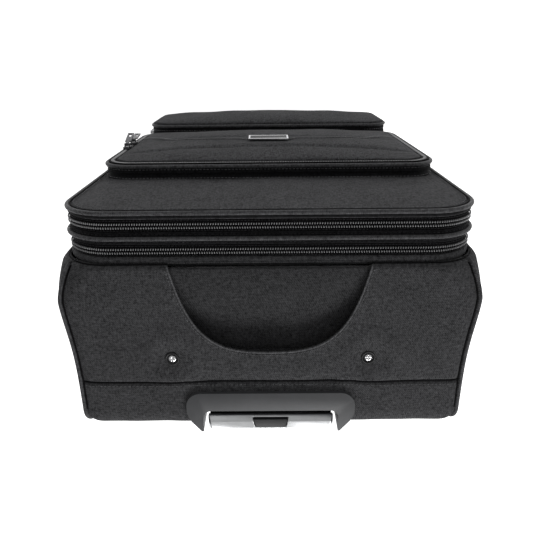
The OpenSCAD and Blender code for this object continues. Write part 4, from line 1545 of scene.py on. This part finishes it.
class CASE_OT_stage(bpy.types.Operator):
    """Sets the floor, the lights and the camera"""

    bl_idname = "flight_case.stage"
    bl_label = "Stage"

    def floor(self):
        settings = bpy.context.scene.case_stage
        size = 6.0
        steps = 12
        row = np.linspace(-size, size, steps)
        points = [Vector((x, y, 0.0)) for y in row for x in row]
        floor = mesh_object("studio_floor", points, grid_faces(steps, steps))
        made, tree, shader, position = new_material("studio_floor")
        clouds = noise_value(tree, position, 2.0, 2.0)
        ramp = blend_colours(tree, clouds, shade(settings.floor_colour, 0.98), tuple(settings.floor_colour))
        tree.links.new(ramp.outputs["Color"], shader.inputs["Base Color"])
        shader.inputs["Roughness"].default_value = 0.9
        shader.inputs["Specular IOR Level"].default_value = 0.1
        shader.inputs["Emission Color"].default_value = (1.0, 1.0, 1.0, 1.0)
        shader.inputs["Emission Strength"].default_value = 0.80
        floor.data.materials.append(made)

    def light(self, name, place_at, aim, size, power):
        data = bpy.data.lights.new(name, "AREA")
        data.shape = "RECTANGLE"
        data.size = size[0]
        data.size_y = size[1]
        data.energy = power
        lamp = bpy.data.objects.new(name, data)
        bpy.context.scene.collection.objects.link(lamp)
        lamp.location = place_at
        lamp.rotation_mode = "QUATERNION"
        lamp.rotation_quaternion = (Vector(aim) - Vector(place_at)).to_track_quat("-Z", "Y")

    def camera(self):
        settings = bpy.context.scene.case_stage
        data = bpy.data.cameras.new("camera")
        data.lens = settings.lens
        data.sensor_width = 36.0
        data.clip_start = 0.02
        data.clip_end = 60.0
        camera = bpy.data.objects.new("camera", data)
        bpy.context.scene.collection.objects.link(camera)
        pitch = math.radians(21.5)
        back = Vector((0.0, -math.sin(pitch), math.cos(pitch)))
        up = Vector((0.0, -math.cos(pitch), -math.sin(pitch)))
        right = up.cross(back)
        turn = Matrix((right, up, back)).transposed()
        yaw = Matrix.Rotation(math.radians(0.31), 3, "Y")
        roll = Matrix.Rotation(math.radians(-0.45), 3, "Z")
        spot = Vector((0.0, BACK - 0.332, TOP + 0.428))
        camera.matrix_world = Matrix.Translation(spot) @ (turn @ yaw @ roll).to_4x4()
        bpy.context.scene.camera = camera

    def execute(self, context):
        settings = context.scene.case_stage
        self.floor()
        world = bpy.data.worlds.new("studio")
        world.use_nodes = True
        world.node_tree.nodes["Background"].inputs["Color"].default_value = (1.0, 1.0, 1.0, 1.0)
        world.node_tree.nodes["Background"].inputs["Strength"].default_value = 0.38
        context.scene.world = world
        context.scene.view_settings.view_transform = "Standard"
        middle = (0.0, 0.0, 0.35)
        self.light("key", (-0.45, 1.15, 1.25), middle, (1.2, 0.7), settings.key_power)
        self.light("fill", (0.7, -1.2, 0.9), middle, (1.2, 1.2), settings.key_power * 0.09)
        self.light("rim", (-1.2, -0.5, 0.7), middle, (0.8, 1.4), settings.key_power * 0.09)
        self.camera()
        return {"FINISHED"}


class CASE_PT_panel(bpy.types.Panel):
    """Steps and settings of the flight case"""

    bl_idname = "CASE_PT_panel"
    bl_label = "Flight case"
    bl_space_type = "VIEW_3D"
    bl_region_type = "UI"
    bl_category = "Flight case"

    def draw(self, context):
        layout = self.layout
        for group in (context.scene.case_fabric, context.scene.case_zips, context.scene.case_stage):
            column = layout.column(align=True)
            for name in group.__annotations__:
                column.prop(group, name)
        for step in STEPS:
            layout.operator(step.bl_idname)


STEPS = (
    CASE_OT_stage,
    CASE_OT_body,
    CASE_OT_top_panel,
    CASE_OT_grab_pocket,
    CASE_OT_side_piping,
    CASE_OT_zips,
    CASE_OT_band,
    CASE_OT_lid,
    CASE_OT_pockets,
    CASE_OT_lining,
    CASE_OT_screws,
    CASE_OT_wheels,
    CASE_OT_hardware,
)
GROUPS = (FabricSettings, ZipSettings, StageSettings)


def register():
    for made in (*GROUPS, *STEPS, CASE_PT_panel):
        bpy.utils.register_class(made)
    bpy.types.Scene.case_fabric = PointerProperty(type=FabricSettings)
    bpy.types.Scene.case_zips = PointerProperty(type=ZipSettings)
    bpy.types.Scene.case_stage = PointerProperty(type=StageSettings)


def unregister():
    del bpy.types.Scene.case_stage
    del bpy.types.Scene.case_zips
    del bpy.types.Scene.case_fabric
    for made in reversed((*GROUPS, *STEPS, CASE_PT_panel)):
        bpy.utils.unregister_class(made)


def main():
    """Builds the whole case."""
    register()
    for step in STEPS:
        group, name = step.bl_idname.split(".")
        getattr(getattr(bpy.ops, group), name)()


if __name__ == "__main__":
    main()
